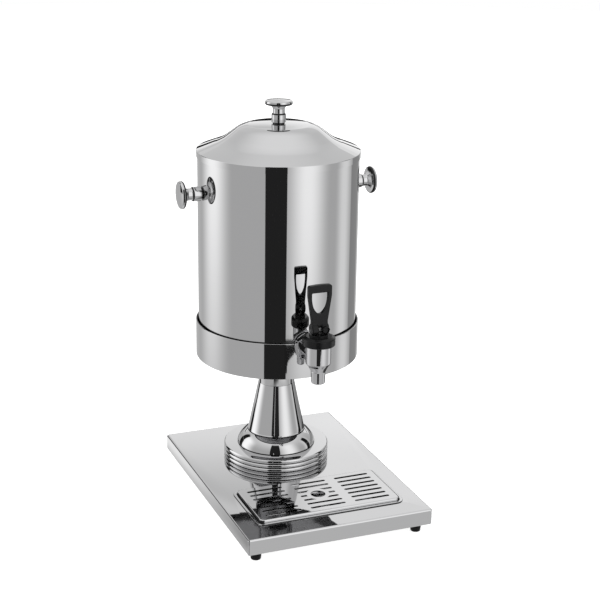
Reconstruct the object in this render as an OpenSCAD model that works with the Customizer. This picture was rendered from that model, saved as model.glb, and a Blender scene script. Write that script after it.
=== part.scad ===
// Milk dispenser: a steel vessel with a tap, on a turned pedestal and a folded base with a drip tray.
// The origin is on the floor under the middle of the base. The tap faces -Y, and +Z is up.

/* [Base] */
// Width of the base plate
base_w = 260; // [240:1:300]
// Depth of the base plate
base_d = 356; // [340:1:400]
// Height of the top face of the base plate above the floor
base_top_z = 36.5; // [34:0.5:46]
// Height of the folded skirt round the base plate
skirt_h = 23.3; // [20:0.1:26]
// Thickness of the base sheet
base_sheet = 1.2; // [0.8:0.1:1.6]
// Width of the flange folded inwards under each skirt
flange_w = 24; // [22:1:32]

/* [Feet] */
// Diameter of a rubber foot
foot_d = 14.4; // [13:0.2:18]
// Distance from the base's edges to a foot's centre
foot_inset = 16.3; // [14:0.1:20]
// Diameter of the screw that holds a foot
foot_screw_d = 4; // [3:0.5:4]

/* [Drip tray] */
// Width of the tray over its rim
tray_w = 210; // [180:1:216]
// Depth of the tray over its rim
tray_d = 107; // [100:1:112]
// Corner radius of the tray's rim
tray_corner_r = 12; // [10:1:16]
// Width of the tray's rim outside its pan
tray_rim_w = 3.5; // [3:0.1:6]
// Distance from the front edge of the base to the tray's rim
tray_front_gap = 30.5; // [24:0.5:33]
// Thickness of the tray sheet
tray_sheet = 0.8; // [0.6:0.1:1.2]
// Depth of the pan below the rim
pan_depth = 10.6; // [9:0.1:14]

/* [Drip grate] */
// Height of the grate's top face above the tray's rim
grate_proud = 3.9; // [2.5:0.1:6]
// Thickness of the grate sheet
grate_sheet = 1; // [0.8:0.1:1.5]
// Length of one slot
slot_len = 50; // [40:1:52]
// Width of one slot
slot_w = 4.5; // [3.5:0.1:6]
// Distance between neighbouring slots
slot_pitch = 12; // [10:0.1:12.4]
// Distance between the middles of neighbouring slot columns
column_pitch = 63.5; // [62:0.5:66]
// Number of slots in a column
slot_rows = 7; // [3:2:7]
// Diameter of the round drain hole in the middle
drain_d = 20; // [14:0.5:22]
// Width of the plain ring round the drain hole
drain_ring_w = 6; // [4:0.5:8]

/* [Pedestal] */
// Diameter of the ribbed collar
collar_d = 148.5; // [140:0.5:160]
// Height of the ribbed collar
collar_h = 18.5; // [15:0.5:24]
// Number of ribs round the collar
rib_count = 3; // [2:1:4]
// Depth of the groove between two ribs
rib_depth = 1.4; // [0.8:0.1:1.8]
// Diameter of the dome where it stands on the collar
dome_d = 110.4; // [100:0.4:120]
// Height of the dome
dome_h = 20.5; // [16:0.5:26]
// Diameter of the cone where it stands on the dome
cone_d = 80.8; // [74:0.4:86]
// Height of the cone
cone_h = 71.5; // [60:0.5:85]
// Diameter of the neck tube above the cone
neck_d = 51.2; // [46:0.4:58]
// Height of the neck tube
neck_h = 53; // [45:0.5:65]
// Thickness of the pedestal's sheet pieces
pedestal_sheet = 1.5; // [1:0.1:2]
// Diameter of the tie rod through the pedestal
tie_rod_d = 10; // [8:0.5:12]

/* [Vessel] */
// Outer diameter of the vessel
vessel_d = 218.8; // [200:0.4:224]
// Height of the vessel from its floor to its rim
vessel_h = 268; // [240:0.5:300]
// Thickness of the vessel's wall
vessel_wall = 1; // [0.8:0.1:1.5]
// Radius between the vessel's floor and its wall
vessel_corner_r = 8; // [5:0.5:10]
// Diameter of the rolled bead at the rim
bead_d = 3.4; // [3:0.1:4.4]
// Height of the band round the foot of the vessel
band_h = 50.1; // [46:0.1:54]
// Thickness of the band
band_wall = 1.6; // [1:0.1:2]
// Gap between the vessel and the band
band_gap = 2; // [1.6:0.1:3]
// Distance from the band's lower edge up to the plate inside it
plate_up = 8.4; // [6:0.2:12]
// Thickness of the support plate
plate_t = 2; // [1.5:0.1:3]
// Height of the spacer between the support plate and the vessel
spacer_h = 10; // [9:0.5:14]

/* [Lid] */
// Thickness of the lid
lid_wall = 0.9; // [0.7:0.1:1.2]
// Height of the lid's turned-down lip
lip_h = 8.8; // [7:0.2:12]
// Rise of the lid from its outer edge to its crown
lid_rise = 35.1; // [26:0.1:40]
// Clearance between the lid's lip and the vessel
lid_clearance = 0.4; // [0.3:0.05:0.8]

/* [Knobs] */
// Diameter of a knob's head
knob_d = 37.5; // [32:0.5:42]
// Length of a knob from its foot to its face
knob_len = 31.8; // [28:0.2:36]
// Diameter of a knob's barrel
barrel_d = 19.6; // [17:0.2:22]
// Diameter of a knob's waist
waist_d = 16.2; // [13:0.2:16.6]
// Diameter of the screw in a knob
knob_screw_d = 5; // [4:0.5:6]
// Distance from the vessel's rim down to the side knobs
side_knob_down = 52.5; // [43:0.5:80]

/* [Tap] */
// Distance from the vessel's wall to the tap's upright axis
tap_reach = 42.3; // [40:0.1:48]
// Height of the tap's shank above the vessel's floor
shank_up = 26; // [25:0.1:28]
// Diameter of the threaded shank
shank_d = 20; // [18:0.5:21]
// Diameter of the tap's body
tap_d = 34.2; // [33:0.2:37]
// Length of the body below the shank's axis
tap_lower = 10; // [8:0.5:14]
// Length of the taper between the body and the nozzle
taper_h = 15; // [12:0.5:18]
// Outer diameter of the nozzle
nozzle_d = 18.2; // [17:0.2:21]
// Length of the nozzle
nozzle_h = 14; // [10:0.5:18]
// Diameter of the outlet
outlet_d = 11; // [9:0.2:12]
// Size across the flats of the hexagon on the shank
hex_af = 35; // [32:0.5:37]
// Diameter of the round flange behind the hexagon
flange_d = 36; // [34:0.5:38]
// Diameter of the black bonnet
bonnet_d = 43.5; // [41:0.5:46]
// Distance from the shank's axis up to the bonnet's lower edge
bonnet_up = 14.5; // [13.5:0.5:17]
// Height of the bonnet's straight rim
bonnet_rim_h = 10; // [9:0.5:12]
// Height of the hub on the bonnet
hub_h = 2.7; // [2:0.1:4]
// Diameter of the hub on the bonnet
hub_d = 25; // [23:0.2:28]
// Diameter of the lifting stem
stem_d = 6; // [5:0.2:6.4]

/* [Tap handle] */
// Width of the handle's loop
handle_w = 32.6; // [29:0.2:36]
// Height of the handle above its pivot pin
handle_h = 61; // [54:0.5:68]
// Thickness of the handle's loop
handle_t = 6; // [5:0.1:7]
// Width of the handle's two ears together
ears_w = 24.4; // [23:0.2:27]
// Radius of the round cam on each ear
cam_r = 5.4; // [5:0.1:6]
// Distance of the cam's centre in front of the pivot pin
cam_offset = 3.2; // [2.6:0.1:3.6]
// Diameter of the pivot pin
pin_d = 3; // [2.5:0.1:3.4]

/* [Hidden] */

$fn = 96;
saddle_fn = 360;

// Fits shared by many pieces
overrun = 1;
fit_gap = 0.05;
seat_gap = 0.3;
gasket_gap = 0.1;
slide_gap = 0.1;
hole_gap = 0.3;

// Base and feet
flange_z = base_top_z - skirt_h;
foot_x = base_w / 2 - foot_inset;
foot_y = base_d / 2 - foot_inset;
foot_head_d = 7.2;
foot_head_h = 2.4;
foot_recess_d = 8.4;
foot_recess_h = 5;
foot_nut_af = 7;
foot_nut_h = 3.2;
foot_screw_spare = 1.2;
rod_hole_d = tie_rod_d + 2 * hole_gap;

// Drip tray and grate
tray_y = -base_d / 2 + tray_front_gap + tray_d / 2;
rim_top_z = base_top_z + seat_gap + tray_sheet;
pan_w = tray_w - 2 * tray_rim_w;
pan_d = tray_d - 2 * tray_rim_w;
pan_corner_r = tray_corner_r - tray_rim_w;
pan_floor_z = rim_top_z - pan_depth;
pan_gap = 0.6;
grate_gap = 0.7;
grate_top_z = rim_top_z + grate_proud;
grate_w = pan_w - 2 * tray_sheet - 2 * grate_gap;
grate_d = pan_d - 2 * tray_sheet - 2 * grate_gap;
grate_corner_r = pan_corner_r - tray_sheet - grate_gap;

// Pedestal and the plates that the tie rod clamps
collar_top_z = base_top_z + collar_h;
collar_wall = 3;
dome_top_z = collar_top_z + dome_h;
dome_bulge_share = 0.12;
dome_shelf_w = 14;
cone_top_z = dome_top_z + cone_h;
support_z = cone_top_z + neck_h;
clamp_w = 60;
clamp_t = 3;
rod_nut_af = 1.7 * tie_rod_d;
rod_nut_h = 0.5 * tie_rod_d;
rod_spare = 1;
washer_d = 3 * tie_rod_d;
washer_t = 2.5;
plate_top_z = support_z + plate_t;
plate_lip_h = 10;
rod_low_z = base_top_z - base_sheet - clamp_t - rod_nut_h - rod_spare;
rod_high_z = plate_top_z + washer_t + rod_nut_h + rod_spare;

// Vessel and band
vessel_r = vessel_d / 2;
band_r = vessel_r + band_gap + band_wall;
body_y = base_d / 2 - band_r;
floor_z = plate_top_z + spacer_h;
vessel_top_z = floor_z + vessel_h;
bead_mid_r = vessel_r - bead_d / 2;
band_z = support_z - plate_up;
band_top_z = band_z + band_h;
spacer_d_share = 0.68;
spacer_d = spacer_d_share * vessel_d;
spacer_sheet = 1.5;
spacer_lip_w = 8;
stud_d = 6;
stud_count = 3;
stud_ring_share = 0.82;
stud_ring_r = stud_ring_share * vessel_r;
stud_nut_af = 10;
stud_nut_h = 5;
stud_spare = 1.5;

// Lid: a shallow cone, a steeper bell and a gently domed crown
lid_r = vessel_r + lid_clearance + lid_wall;
lid_edge_r = 0.7;
bell_foot_share = 0.714;
bell_foot_rise_share = 0.346;
bell_top_share = 0.452;
bell_top_rise_share = 0.954;
bell_foot_fillet_share = 0.5;
bell_top_fillet_share = 0.28;
crown_share = 0.235;
crown_rise_share = 0.998;
crown_fillet_share = 3.6;
lid_slope = atan2(bell_foot_rise_share * lid_rise, lid_r * (1 - bell_foot_share));
lid_edge_z = vessel_top_z + seat_gap + lid_wall / cos(lid_slope) - (lid_r - bead_mid_r) * tan(lid_slope);
lid_top_z = lid_edge_z + lid_rise;

// Knobs and their screws
knob_thread_h = 12;
knob_screw_head_d = 2 * knob_screw_d;
knob_screw_head_h = 0.6 * knob_screw_d;
knob_washer_d = 3 * knob_screw_d;
knob_washer_t = 1.2;
knob_screw_bite = 9;
lid_washer_z = lid_top_z - lid_wall - seat_gap - knob_washer_t;
side_washer_r = vessel_r - vessel_wall - seat_gap - knob_washer_t;
side_knob_z = vessel_top_z - side_knob_down;

// Tap: heights are measured from the shank's axis
wall_y = body_y - vessel_r;
tap_y = wall_y - tap_reach;
shank_z = floor_z + shank_up;
gasket_t = 1.6;
flange_t = 3;
hex_t = 9;
flange_front_y = wall_y - gasket_t - flange_t;
shank_neck_d = 24;
shank_bore_d = 11;
inner_gasket_t = 3;
lock_nut_af = 28;
lock_nut_h = 8;
shank_spare = 3;
shank_end_y = wall_y + vessel_wall + inner_gasket_t + lock_nut_h + shank_spare;
tap_cavity_d = 25;
tap_floor_z = shank_z - tap_lower;
nozzle_top_z = tap_floor_z - taper_h;
nozzle_low_z = nozzle_top_z - nozzle_h;
nozzle_lip_r = 1.6;
nozzle_flare = 1.2;
throat_share = 0.795;
throat_down = 6.8;
shoulder_down = 3.3;
taper_fillet_r = 5;
shoulder_fillet_r = 3;
bonnet_z = shank_z + bonnet_up;
bonnet_top_t = 2.5;
bonnet_bevel_w = 4.8;
bonnet_roof_t = 4;
thread_step = 0.7;
bonnet_top_z = bonnet_z + bonnet_rim_h + bonnet_top_t;
bonnet_roof_z = bonnet_top_z - bonnet_roof_t;
hub_top_z = bonnet_top_z + hub_h;
pin_z = hub_top_z + seat_gap + cam_r;
lug_w = 4;
lug_d = 8;
lug_gap = 0.6;
stem_hole_d = stem_d + 2 * slide_gap;
stem_flat_h = 9;
cup_d = 19;
cup_h = 8;
cup_sleeve_h = 6;
stem_flange_d = 12;
stem_flange_t = 1.5;
spring_wire_d = 1;
spring_mean_d = 9.6;
spring_turns = 6;
spring_steps = 14;
spring_sides = 6;
cup_low_z = tap_floor_z + seat_gap;
spring_low_z = cup_low_z + cup_h + stem_flange_t;

// Handle outline, as shares of its width and of its height above the pin
handle_top_z = pin_z + handle_h;
loop_border = 4.8;
top_border = 10.5;
top_arch = 0.8;
top_arch_r = 90;
handle_edge_r = 3;
notch_h_share = 0.15;
waist_h_share = 0.2;
waist_w_share = 0.68;
hip_h_share = 0.4;
hip_w_share = 0.8;
widest_h_share = 0.76;
window_low_share = 0.37;
window_power = 2.4;
boss_r = 7;
boss_up = 1.8;
ear_recess_r = 4.2;
ear_recess_x = 7.3;
ear_recess_depth = 2.4;
ear_round_r = 5;
arc_steps = 8;
window_steps = 12;

// Geometry helpers

// Unit vector along v
function along(v) = v / norm(v);

// Left-hand normal of the step from p to q
function step_normal(p, q) = let (u = along(q - p)) [-u[1], u[0]];

// Arc of radius r that rounds the corner q between its neighbours p and s
function corner_arc(p, q, s, r) =
    let (
        u = along(p - q),
        w = along(s - q),
        half_angle = acos(u * w) / 2,
        centre = q + along(u + w) * r / sin(half_angle),
        from = q + u * r / tan(half_angle) - centre,
        to = q + w * r / tan(half_angle) - centre,
        start = atan2(from[1], from[0]),
        turn = atan2(from[0] * to[1] - from[1] * to[0], from * to)
    )
    [for (i = [0:arc_steps]) centre + r * [cos(start + turn * i / arc_steps), sin(start + turn * i / arc_steps)]];

// Path through corners given as [x, y, radius]; a radius of zero leaves a corner sharp
function rounded(corners) =
    let (n = len(corners), xy = [for (c = corners) [c[0], c[1]]])
    [for (i = [0:n - 1])
        each corners[i][2] == 0
            ? [xy[i]]
            : corner_arc(xy[(i + n - 1) % n], xy[i], xy[(i + 1) % n], corners[i][2])];

// Open path moved sideways by t, with mitred corners
function moved(path, t) =
    let (n = len(path))
    [for (i = [0:n - 1])
        let (
            a = step_normal(path[max(i, 1) - 1], path[max(i, 1)]),
            b = step_normal(path[min(i, n - 2)], path[min(i, n - 2) + 1])
        )
        path[i] + t * (a + b) / (1 + a * b)];

function backwards(path) = [for (i = [len(path) - 1:-1:0]) path[i]];

// Section of a sheet of thickness t on the left of an open path
module sheet_section(path, t) {
    polygon(concat(path, backwards(moved(path, t))));
}

// Arc from p to q that bulges to the right by the rise
function bulged(p, q, rise) =
    let (
        chord = norm(q - p),
        r = (chord * chord / 4 + rise * rise) / (2 * rise),
        centre = (p + q) / 2 + step_normal(p, q) * (r - rise),
        start = atan2(p[1] - centre[1], p[0] - centre[0]),
        turn = 2 * asin(chord / 2 / r)
    )
    [for (i = [0:arc_steps]) centre + r * [cos(start + turn * i / arc_steps), sin(start + turn * i / arc_steps)]];

// Slab with round upright corners, centred on the axis and standing on z = 0
module round_slab(w, d, h, r) {
    linear_extrude(h) round_rect(w, d, r);
}

module round_rect(w, d, r) {
    square([w - 2 * r, d], center = true);
    square([w, d - 2 * r], center = true);
    for (x = [-1, 1], y = [-1, 1]) translate([x * (w / 2 - r), y * (d / 2 - r)]) circle(r);
}

module hex_prism(af, h) {
    cylinder(h = h, r = af / 2 / cos(30), $fn = 6);
}

module hex_nut(af, h, bore) {
    difference() {
        hex_prism(af, h);
        translate([0, 0, -overrun]) cylinder(h = h + 2 * overrun, d = bore);
    }
}

module ring(outer_d, inner_d, h) {
    difference() {
        cylinder(h = h, d = outer_d);
        translate([0, 0, -overrun]) cylinder(h = h + 2 * overrun, d = inner_d);
    }
}

module at_feet() {
    for (x = [-1, 1], y = [-1, 1]) translate([x * foot_x, y * foot_y, 0]) children();
}

module on_body_axis(z) {
    translate([0, body_y, z]) children();
}

module on_tap_axis(z) {
    translate([0, tap_y, z]) children();
}

// Places a piece on the shank's axis at y, with its own axis pointing towards the vessel
module on_shank(y) {
    translate([0, y, shank_z]) rotate([-90, 0, 0]) children();
}

// Places a piece on a side knob's axis at distance r from the body's axis; side is -1 or 1
module on_side(side, r) {
    translate([side * r, body_y, side_knob_z]) rotate([0, side * 90, 0]) children();
}

// Base: one folded sheet with a skirt and a return flange on every side
module base_plate() {
    inner_w = base_w - 2 * base_sheet;
    inner_d = base_d - 2 * base_sheet;
    color("silver") difference() {
        translate([-base_w / 2, -base_d / 2, flange_z]) cube([base_w, base_d, skirt_h]);
        translate([-inner_w / 2, -inner_d / 2, flange_z + base_sheet])
            cube([inner_w, inner_d, skirt_h - 2 * base_sheet]);
        translate([-base_w / 2 + flange_w, -base_d / 2 + flange_w, flange_z - overrun])
            cube([base_w - 2 * flange_w, base_d - 2 * flange_w, base_sheet + 2 * overrun]);
        translate([0, tray_y, base_top_z - base_sheet - overrun])
            round_slab(pan_w + 2 * pan_gap, pan_d + 2 * pan_gap, base_sheet + 2 * overrun, pan_corner_r + pan_gap);
        on_body_axis(base_top_z - base_sheet - overrun) cylinder(h = base_sheet + 2 * overrun, d = rod_hole_d);
        at_feet() translate([0, 0, flange_z - overrun])
            cylinder(h = base_sheet + 2 * overrun, d = foot_screw_d + hole_gap);
    }
}

module foot(x, y) {
    color("#1c1c1c") translate([x * foot_x, y * foot_y, 0]) difference() {
        cylinder(h = flange_z, d = foot_d);
        translate([0, 0, -overrun]) cylinder(h = foot_recess_h + overrun, d = foot_recess_d);
        cylinder(h = flange_z + overrun, d = foot_screw_d + 2 * fit_gap);
    }
}

module foot_screws() {
    top_z = flange_z + base_sheet + foot_nut_h + foot_screw_spare;
    color("gainsboro") at_feet() {
        translate([0, 0, foot_recess_h - foot_head_h]) cylinder(h = foot_head_h, d = foot_head_d);
        translate([0, 0, foot_recess_h]) cylinder(h = top_z - foot_recess_h, d = foot_screw_d);
    }
}

module foot_nuts() {
    color("gainsboro") at_feet() translate([0, 0, flange_z + base_sheet])
        hex_nut(foot_nut_af, foot_nut_h, foot_screw_d + 2 * fit_gap);
}

// Tray: a flat rim that lies on the base, with a shallow pan in its middle
module drip_tray() {
    color("silver") translate([0, tray_y, 0]) difference() {
        union() {
            translate([0, 0, rim_top_z - tray_sheet]) round_slab(tray_w, tray_d, tray_sheet, tray_corner_r);
            translate([0, 0, pan_floor_z - tray_sheet])
                round_slab(pan_w, pan_d, pan_depth + tray_sheet, pan_corner_r);
        }
        translate([0, 0, pan_floor_z])
            round_slab(pan_w - 2 * tray_sheet, pan_d - 2 * tray_sheet, pan_depth + overrun, pan_corner_r - tray_sheet);
    }
}

module grate_slot() {
    run = slot_len - slot_w;
    square([run, slot_w], center = true);
    for (side = [-1, 1]) translate([side * run / 2, 0]) circle(d = slot_w);
}

// Grate: a slotted top whose turned-down sides stand on the pan's floor
module drip_grate() {
    low_z = pan_floor_z + seat_gap;
    inner_w = grate_w - 2 * grate_sheet;
    inner_d = grate_d - 2 * grate_sheet;
    color("silver") translate([0, tray_y, 0]) difference() {
        translate([0, 0, low_z]) round_slab(grate_w, grate_d, grate_top_z - low_z, grate_corner_r);
        translate([0, 0, low_z - overrun])
            round_slab(inner_w, inner_d, grate_top_z - grate_sheet - low_z + overrun, grate_corner_r - grate_sheet);
        translate([0, 0, grate_top_z - grate_sheet - overrun]) linear_extrude(grate_sheet + 2 * overrun) {
            circle(d = drain_d);
            for (column = [-1, 1]) translate([column * column_pitch, 0]) slot_column();
            difference() {
                slot_column();
                circle(d = drain_d + 2 * drain_ring_w);
            }
        }
    }
}

module slot_column() {
    for (row = [0:slot_rows - 1]) translate([0, (row - (slot_rows - 1) / 2) * slot_pitch]) grate_slot();
}

// Collar: a flat-topped ring with rounded ribs, hollow below
module pedestal_collar() {
    rib_h = collar_h / rib_count;
    core_r = collar_d / 2 - rib_depth;
    ribs = [for (i = [0:rib_count - 1])
        each bulged([core_r, i * rib_h], [core_r, (i + 1) * rib_h], rib_depth)];
    inside = [
        [rod_hole_d / 2, collar_h],
        [rod_hole_d / 2, collar_h - pedestal_sheet],
        [core_r - collar_wall, collar_h - pedestal_sheet],
        [core_r - collar_wall, 0]
    ];
    color("silver") on_body_axis(base_top_z) rotate_extrude() polygon(concat(ribs, inside));
}

// Dome: a spun quarter-round with a flat shelf that carries the cone
module pedestal_dome() {
    foot = [dome_d / 2, collar_top_z];
    top = [cone_d / 2, dome_top_z];
    path = concat(bulged(foot, top, dome_bulge_share * norm(top - foot)), [[cone_d / 2 - dome_shelf_w, dome_top_z]]);
    color("silver") on_body_axis(0) rotate_extrude() intersection() {
        sheet_section(path, pedestal_sheet);
        translate([0, collar_top_z]) square([dome_d / 2, dome_h]);
    }
}

module pedestal_cone() {
    path = [[cone_d / 2, dome_top_z], [neck_d / 2, cone_top_z]];
    color("silver") on_body_axis(0) rotate_extrude() sheet_section_level(path, pedestal_sheet);
}

// Section of a sheet whose ends stay level, for a cone that stands on a flat face
module sheet_section_level(path, t) {
    run = norm(path[1] - path[0]) / (path[1][1] - path[0][1]) * t;
    polygon([path[0], path[1], path[1] - [run, 0], path[0] - [run, 0]]);
}

module pedestal_neck() {
    color("silver") on_body_axis(cone_top_z) ring(neck_d, neck_d - 2 * pedestal_sheet, neck_h);
}

module tie_rod() {
    color("gainsboro") on_body_axis(rod_low_z) cylinder(h = rod_high_z - rod_low_z, d = tie_rod_d);
}

module clamp_plate() {
    color("silver") on_body_axis(base_top_z - base_sheet - clamp_t) difference() {
        translate([-clamp_w / 2, -clamp_w / 2, 0]) cube([clamp_w, clamp_w, clamp_t]);
        translate([0, 0, -overrun]) cylinder(h = clamp_t + 2 * overrun, d = tie_rod_d + 2 * fit_gap);
    }
}

module tie_rod_washer() {
    color("gainsboro") on_body_axis(plate_top_z) ring(washer_d, tie_rod_d + 2 * fit_gap, washer_t);
}

module tie_rod_nuts() {
    color("gainsboro") {
        on_body_axis(rod_low_z + rod_spare) hex_nut(rod_nut_af, rod_nut_h, tie_rod_d + 2 * fit_gap);
        on_body_axis(plate_top_z + washer_t) hex_nut(rod_nut_af, rod_nut_h, tie_rod_d + 2 * fit_gap);
    }
}

module at_studs() {
    for (i = [0:stud_count - 1]) on_body_axis(0) rotate([0, 0, 90 + 360 * i / stud_count])
        translate([stud_ring_r, 0, 0]) children();
}

// Support plate: a round plate with a turned-up lip welded inside the band
module support_plate() {
    outer_r = band_r - band_wall - fit_gap;
    color("silver") difference() {
        on_body_axis(support_z) difference() {
            cylinder(h = plate_t + plate_lip_h, r = outer_r);
            translate([0, 0, plate_t]) cylinder(h = plate_lip_h + overrun, r = outer_r - plate_t);
            translate([0, 0, -overrun]) cylinder(h = plate_t + 2 * overrun, d = rod_hole_d);
        }
        at_studs() translate([0, 0, support_z - overrun])
            cylinder(h = plate_t + 2 * overrun, d = stud_d + 2 * fit_gap);
    }
}

// Band: the plain skirt round the vessel's foot, with a round notch for the tap's flange
module band() {
    color("silver") difference() {
        on_body_axis(band_z) ring(2 * band_r, 2 * (band_r - band_wall), band_h);
        on_shank(wall_y - tap_reach) cylinder(h = tap_reach + overrun, d = flange_d + 2 * hole_gap);
    }
}

// Spacer: a short drum with a lip at each end, between the support plate and the vessel
module vessel_spacer() {
    r = spacer_d / 2;
    path = [
        [r + spacer_lip_w, plate_top_z], [r, plate_top_z],
        [r, floor_z], [r + spacer_lip_w, floor_z]
    ];
    color("silver") on_body_axis(0) rotate_extrude() sheet_section(path, -spacer_sheet);
}

module vessel() {
    path = rounded([
        [0, floor_z, 0], [vessel_r, floor_z, vessel_corner_r], [vessel_r, vessel_top_z - bead_d / 2, 0]
    ]);
    color("silver") difference() {
        on_body_axis(0) rotate_extrude() {
            sheet_section(path, vessel_wall);
            translate([bead_mid_r, vessel_top_z - bead_d / 2]) circle(d = bead_d);
        }
        on_shank(wall_y - overrun) cylinder(h = vessel_r - overrun, d = shank_d + 2 * hole_gap);
        on_side(-1, 0) translate([0, 0, -vessel_d]) cylinder(h = 2 * vessel_d, d = knob_screw_d + hole_gap);
    }
}

module vessel_studs() {
    low_z = support_z - stud_nut_h - stud_spare;
    color("gainsboro") at_studs() translate([0, 0, low_z]) cylinder(h = floor_z - low_z, d = stud_d);
}

module vessel_nuts() {
    color("gainsboro") at_studs() translate([0, 0, support_z - stud_nut_h])
        hex_nut(stud_nut_af, stud_nut_h, stud_d + 2 * fit_gap);
}

// Lid: lip, shallow cone, bell and crown in one spun sheet
module lid() {
    path = rounded([
        [lid_r, lid_edge_z - lip_h, 0],
        [lid_r, lid_edge_z, lid_edge_r],
        [lid_r * bell_foot_share, lid_edge_z + bell_foot_rise_share * lid_rise, lid_r * bell_foot_fillet_share],
        [lid_r * bell_top_share, lid_edge_z + bell_top_rise_share * lid_rise, lid_r * bell_top_fillet_share],
        [lid_r * crown_share, lid_edge_z + crown_rise_share * lid_rise, lid_r * crown_fillet_share],
        [0, lid_top_z, 0]
    ]);
    color("silver") on_body_axis(0) difference() {
        rotate_extrude() intersection() {
            sheet_section(path, lid_wall);
            square([lid_r, lid_top_z]);
        }
        translate([0, 0, lid_edge_z]) cylinder(h = lid_rise + overrun, d = knob_screw_d + hole_gap);
    }
}

// Knob: foot, barrel, waist, flare and domed head, standing on z = 0
module knob() {
    foot_share = 0.82;
    h = knob_len;
    r = knob_d / 2;
    path = rounded([
        [0, 0, 0],
        [barrel_d / 2 * foot_share, 0, 0],
        [barrel_d / 2 * foot_share, h * 0.045, 0],
        [barrel_d / 2, h * 0.06, h * 0.01],
        [barrel_d / 2, h * 0.37, h * 0.03],
        [waist_d / 2, h * 0.45, h * 0.05],
        [waist_d / 2, h * 0.63, h * 0.08],
        [r * 0.62, h * 0.79, h * 0.08],
        [r * 0.97, h * 0.79, h * 0.05],
        [r, h * 0.87, h * 0.06],
        [r * 0.96, h * 0.96, h * 0.04],
        [0, h, 0]
    ]);
    color("silver") difference() {
        rotate_extrude() polygon(path);
        translate([0, 0, -overrun]) cylinder(h = knob_thread_h + overrun, d = knob_screw_d + 2 * fit_gap);
    }
}

// Screw for a knob, with the underside of its head on z = 0 and its shank pointing up
module knob_screw(through) {
    translate([0, 0, -knob_screw_head_h]) cylinder(h = knob_screw_head_h, d = knob_screw_head_d);
    cylinder(h = through + knob_screw_bite, d = knob_screw_d);
}

module knob_washer() {
    ring(knob_washer_d, knob_screw_d + 2 * fit_gap, knob_washer_t);
}

module lid_knob() {
    on_body_axis(lid_top_z) knob();
}

module lid_screw() {
    color("gainsboro") on_body_axis(lid_washer_z) knob_screw(lid_top_z - lid_washer_z);
}

module lid_washer() {
    color("white") on_body_axis(lid_washer_z) knob_washer();
}

module left_knob() {
    on_side(-1, vessel_r) knob();
}

module right_knob() {
    on_side(1, vessel_r) knob();
}

module knob_screws() {
    color("gainsboro") for (side = [-1, 1])
        on_side(side, side_washer_r) knob_screw(vessel_r - side_washer_r);
}

module knob_washers() {
    color("white") for (side = [-1, 1]) on_side(side, side_washer_r) knob_washer();
}

// Tap body: upright barrel with its nozzle, hexagon and threaded shank in one casting
module tap_body() {
    neck_r = tap_d / 2 - thread_step;
    profile = rounded([
        [0, nozzle_low_z, 0],
        [nozzle_d / 2, nozzle_low_z, nozzle_lip_r],
        [nozzle_d / 2 + nozzle_flare, nozzle_top_z, taper_fillet_r],
        [tap_d / 2 * throat_share, tap_floor_z - throat_down, taper_fillet_r],
        [tap_d / 2, tap_floor_z - shoulder_down, shoulder_fillet_r],
        [tap_d / 2, bonnet_z, 0],
        [neck_r, bonnet_z, 0],
        [neck_r, bonnet_roof_z - fit_gap, 0],
        [0, bonnet_roof_z - fit_gap, 0]
    ]);
    color("gainsboro") difference() {
        union() {
            on_tap_axis(0) rotate_extrude() polygon(profile);
            on_shank(tap_y) cylinder(h = flange_front_y - tap_y, d = shank_neck_d);
            on_shank(flange_front_y - hex_t) rotate([0, 0, 0]) hex_prism(hex_af, hex_t);
            on_shank(flange_front_y) cylinder(h = shank_end_y - flange_front_y, d = shank_d);
        }
        on_tap_axis(tap_floor_z) cylinder(h = bonnet_roof_z - tap_floor_z + overrun, d = tap_cavity_d);
        on_tap_axis(nozzle_low_z - overrun) cylinder(h = nozzle_h + taper_h + 2 * overrun, d = outlet_d);
        on_shank(tap_y) cylinder(h = shank_end_y - tap_y + overrun, d = shank_bore_d);
    }
}

module tap_flange() {
    color("gainsboro") on_shank(flange_front_y) ring(flange_d, shank_d + 2 * fit_gap, flange_t);
}

// Outer gasket: flat against the flange and hollowed to the vessel's wall
module tap_outer_gasket() {
    d = flange_d - 2 * gasket_t;
    color("#202020") difference() {
        on_shank(wall_y - gasket_t) ring(d, shank_d + 2 * fit_gap, vessel_r / 4);
        on_body_axis(0) cylinder(h = vessel_top_z, r = vessel_r + gasket_gap, $fn = saddle_fn);
    }
}

// Inner gasket: rounded to the inside of the wall and flat against the lock nut
module tap_inner_gasket() {
    d = flange_d - 4 * gasket_t;
    face_y = wall_y + vessel_wall;
    color("white") intersection() {
        on_shank(face_y - overrun) ring(d, shank_d + 2 * fit_gap, inner_gasket_t + overrun);
        on_body_axis(0) cylinder(h = vessel_top_z, r = vessel_r - vessel_wall - gasket_gap, $fn = saddle_fn);
    }
}

module tap_lock_nut() {
    color("gainsboro") on_shank(wall_y + vessel_wall + inner_gasket_t)
        hex_nut(lock_nut_af, lock_nut_h, shank_d + 2 * fit_gap);
}

// Bonnet: the black cap screwed over the top of the tap's body
module tap_bonnet() {
    r = bonnet_d / 2;
    neck_r = tap_d / 2 - thread_step + fit_gap;
    profile = rounded([
        [stem_hole_d / 2, hub_top_z, 0],
        [stem_hole_d / 2, bonnet_roof_z, 0],
        [neck_r, bonnet_roof_z, 0],
        [neck_r, bonnet_z, 0],
        [r, bonnet_z, nozzle_lip_r],
        [r, bonnet_top_z - bonnet_top_t, nozzle_lip_r],
        [r - bonnet_bevel_w, bonnet_top_z, nozzle_lip_r],
        [hub_d / 2, bonnet_top_z, 0],
        [hub_d / 2, hub_top_z, 0]
    ]);
    color("#242424") on_tap_axis(0) rotate_extrude() polygon(profile);
}

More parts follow.
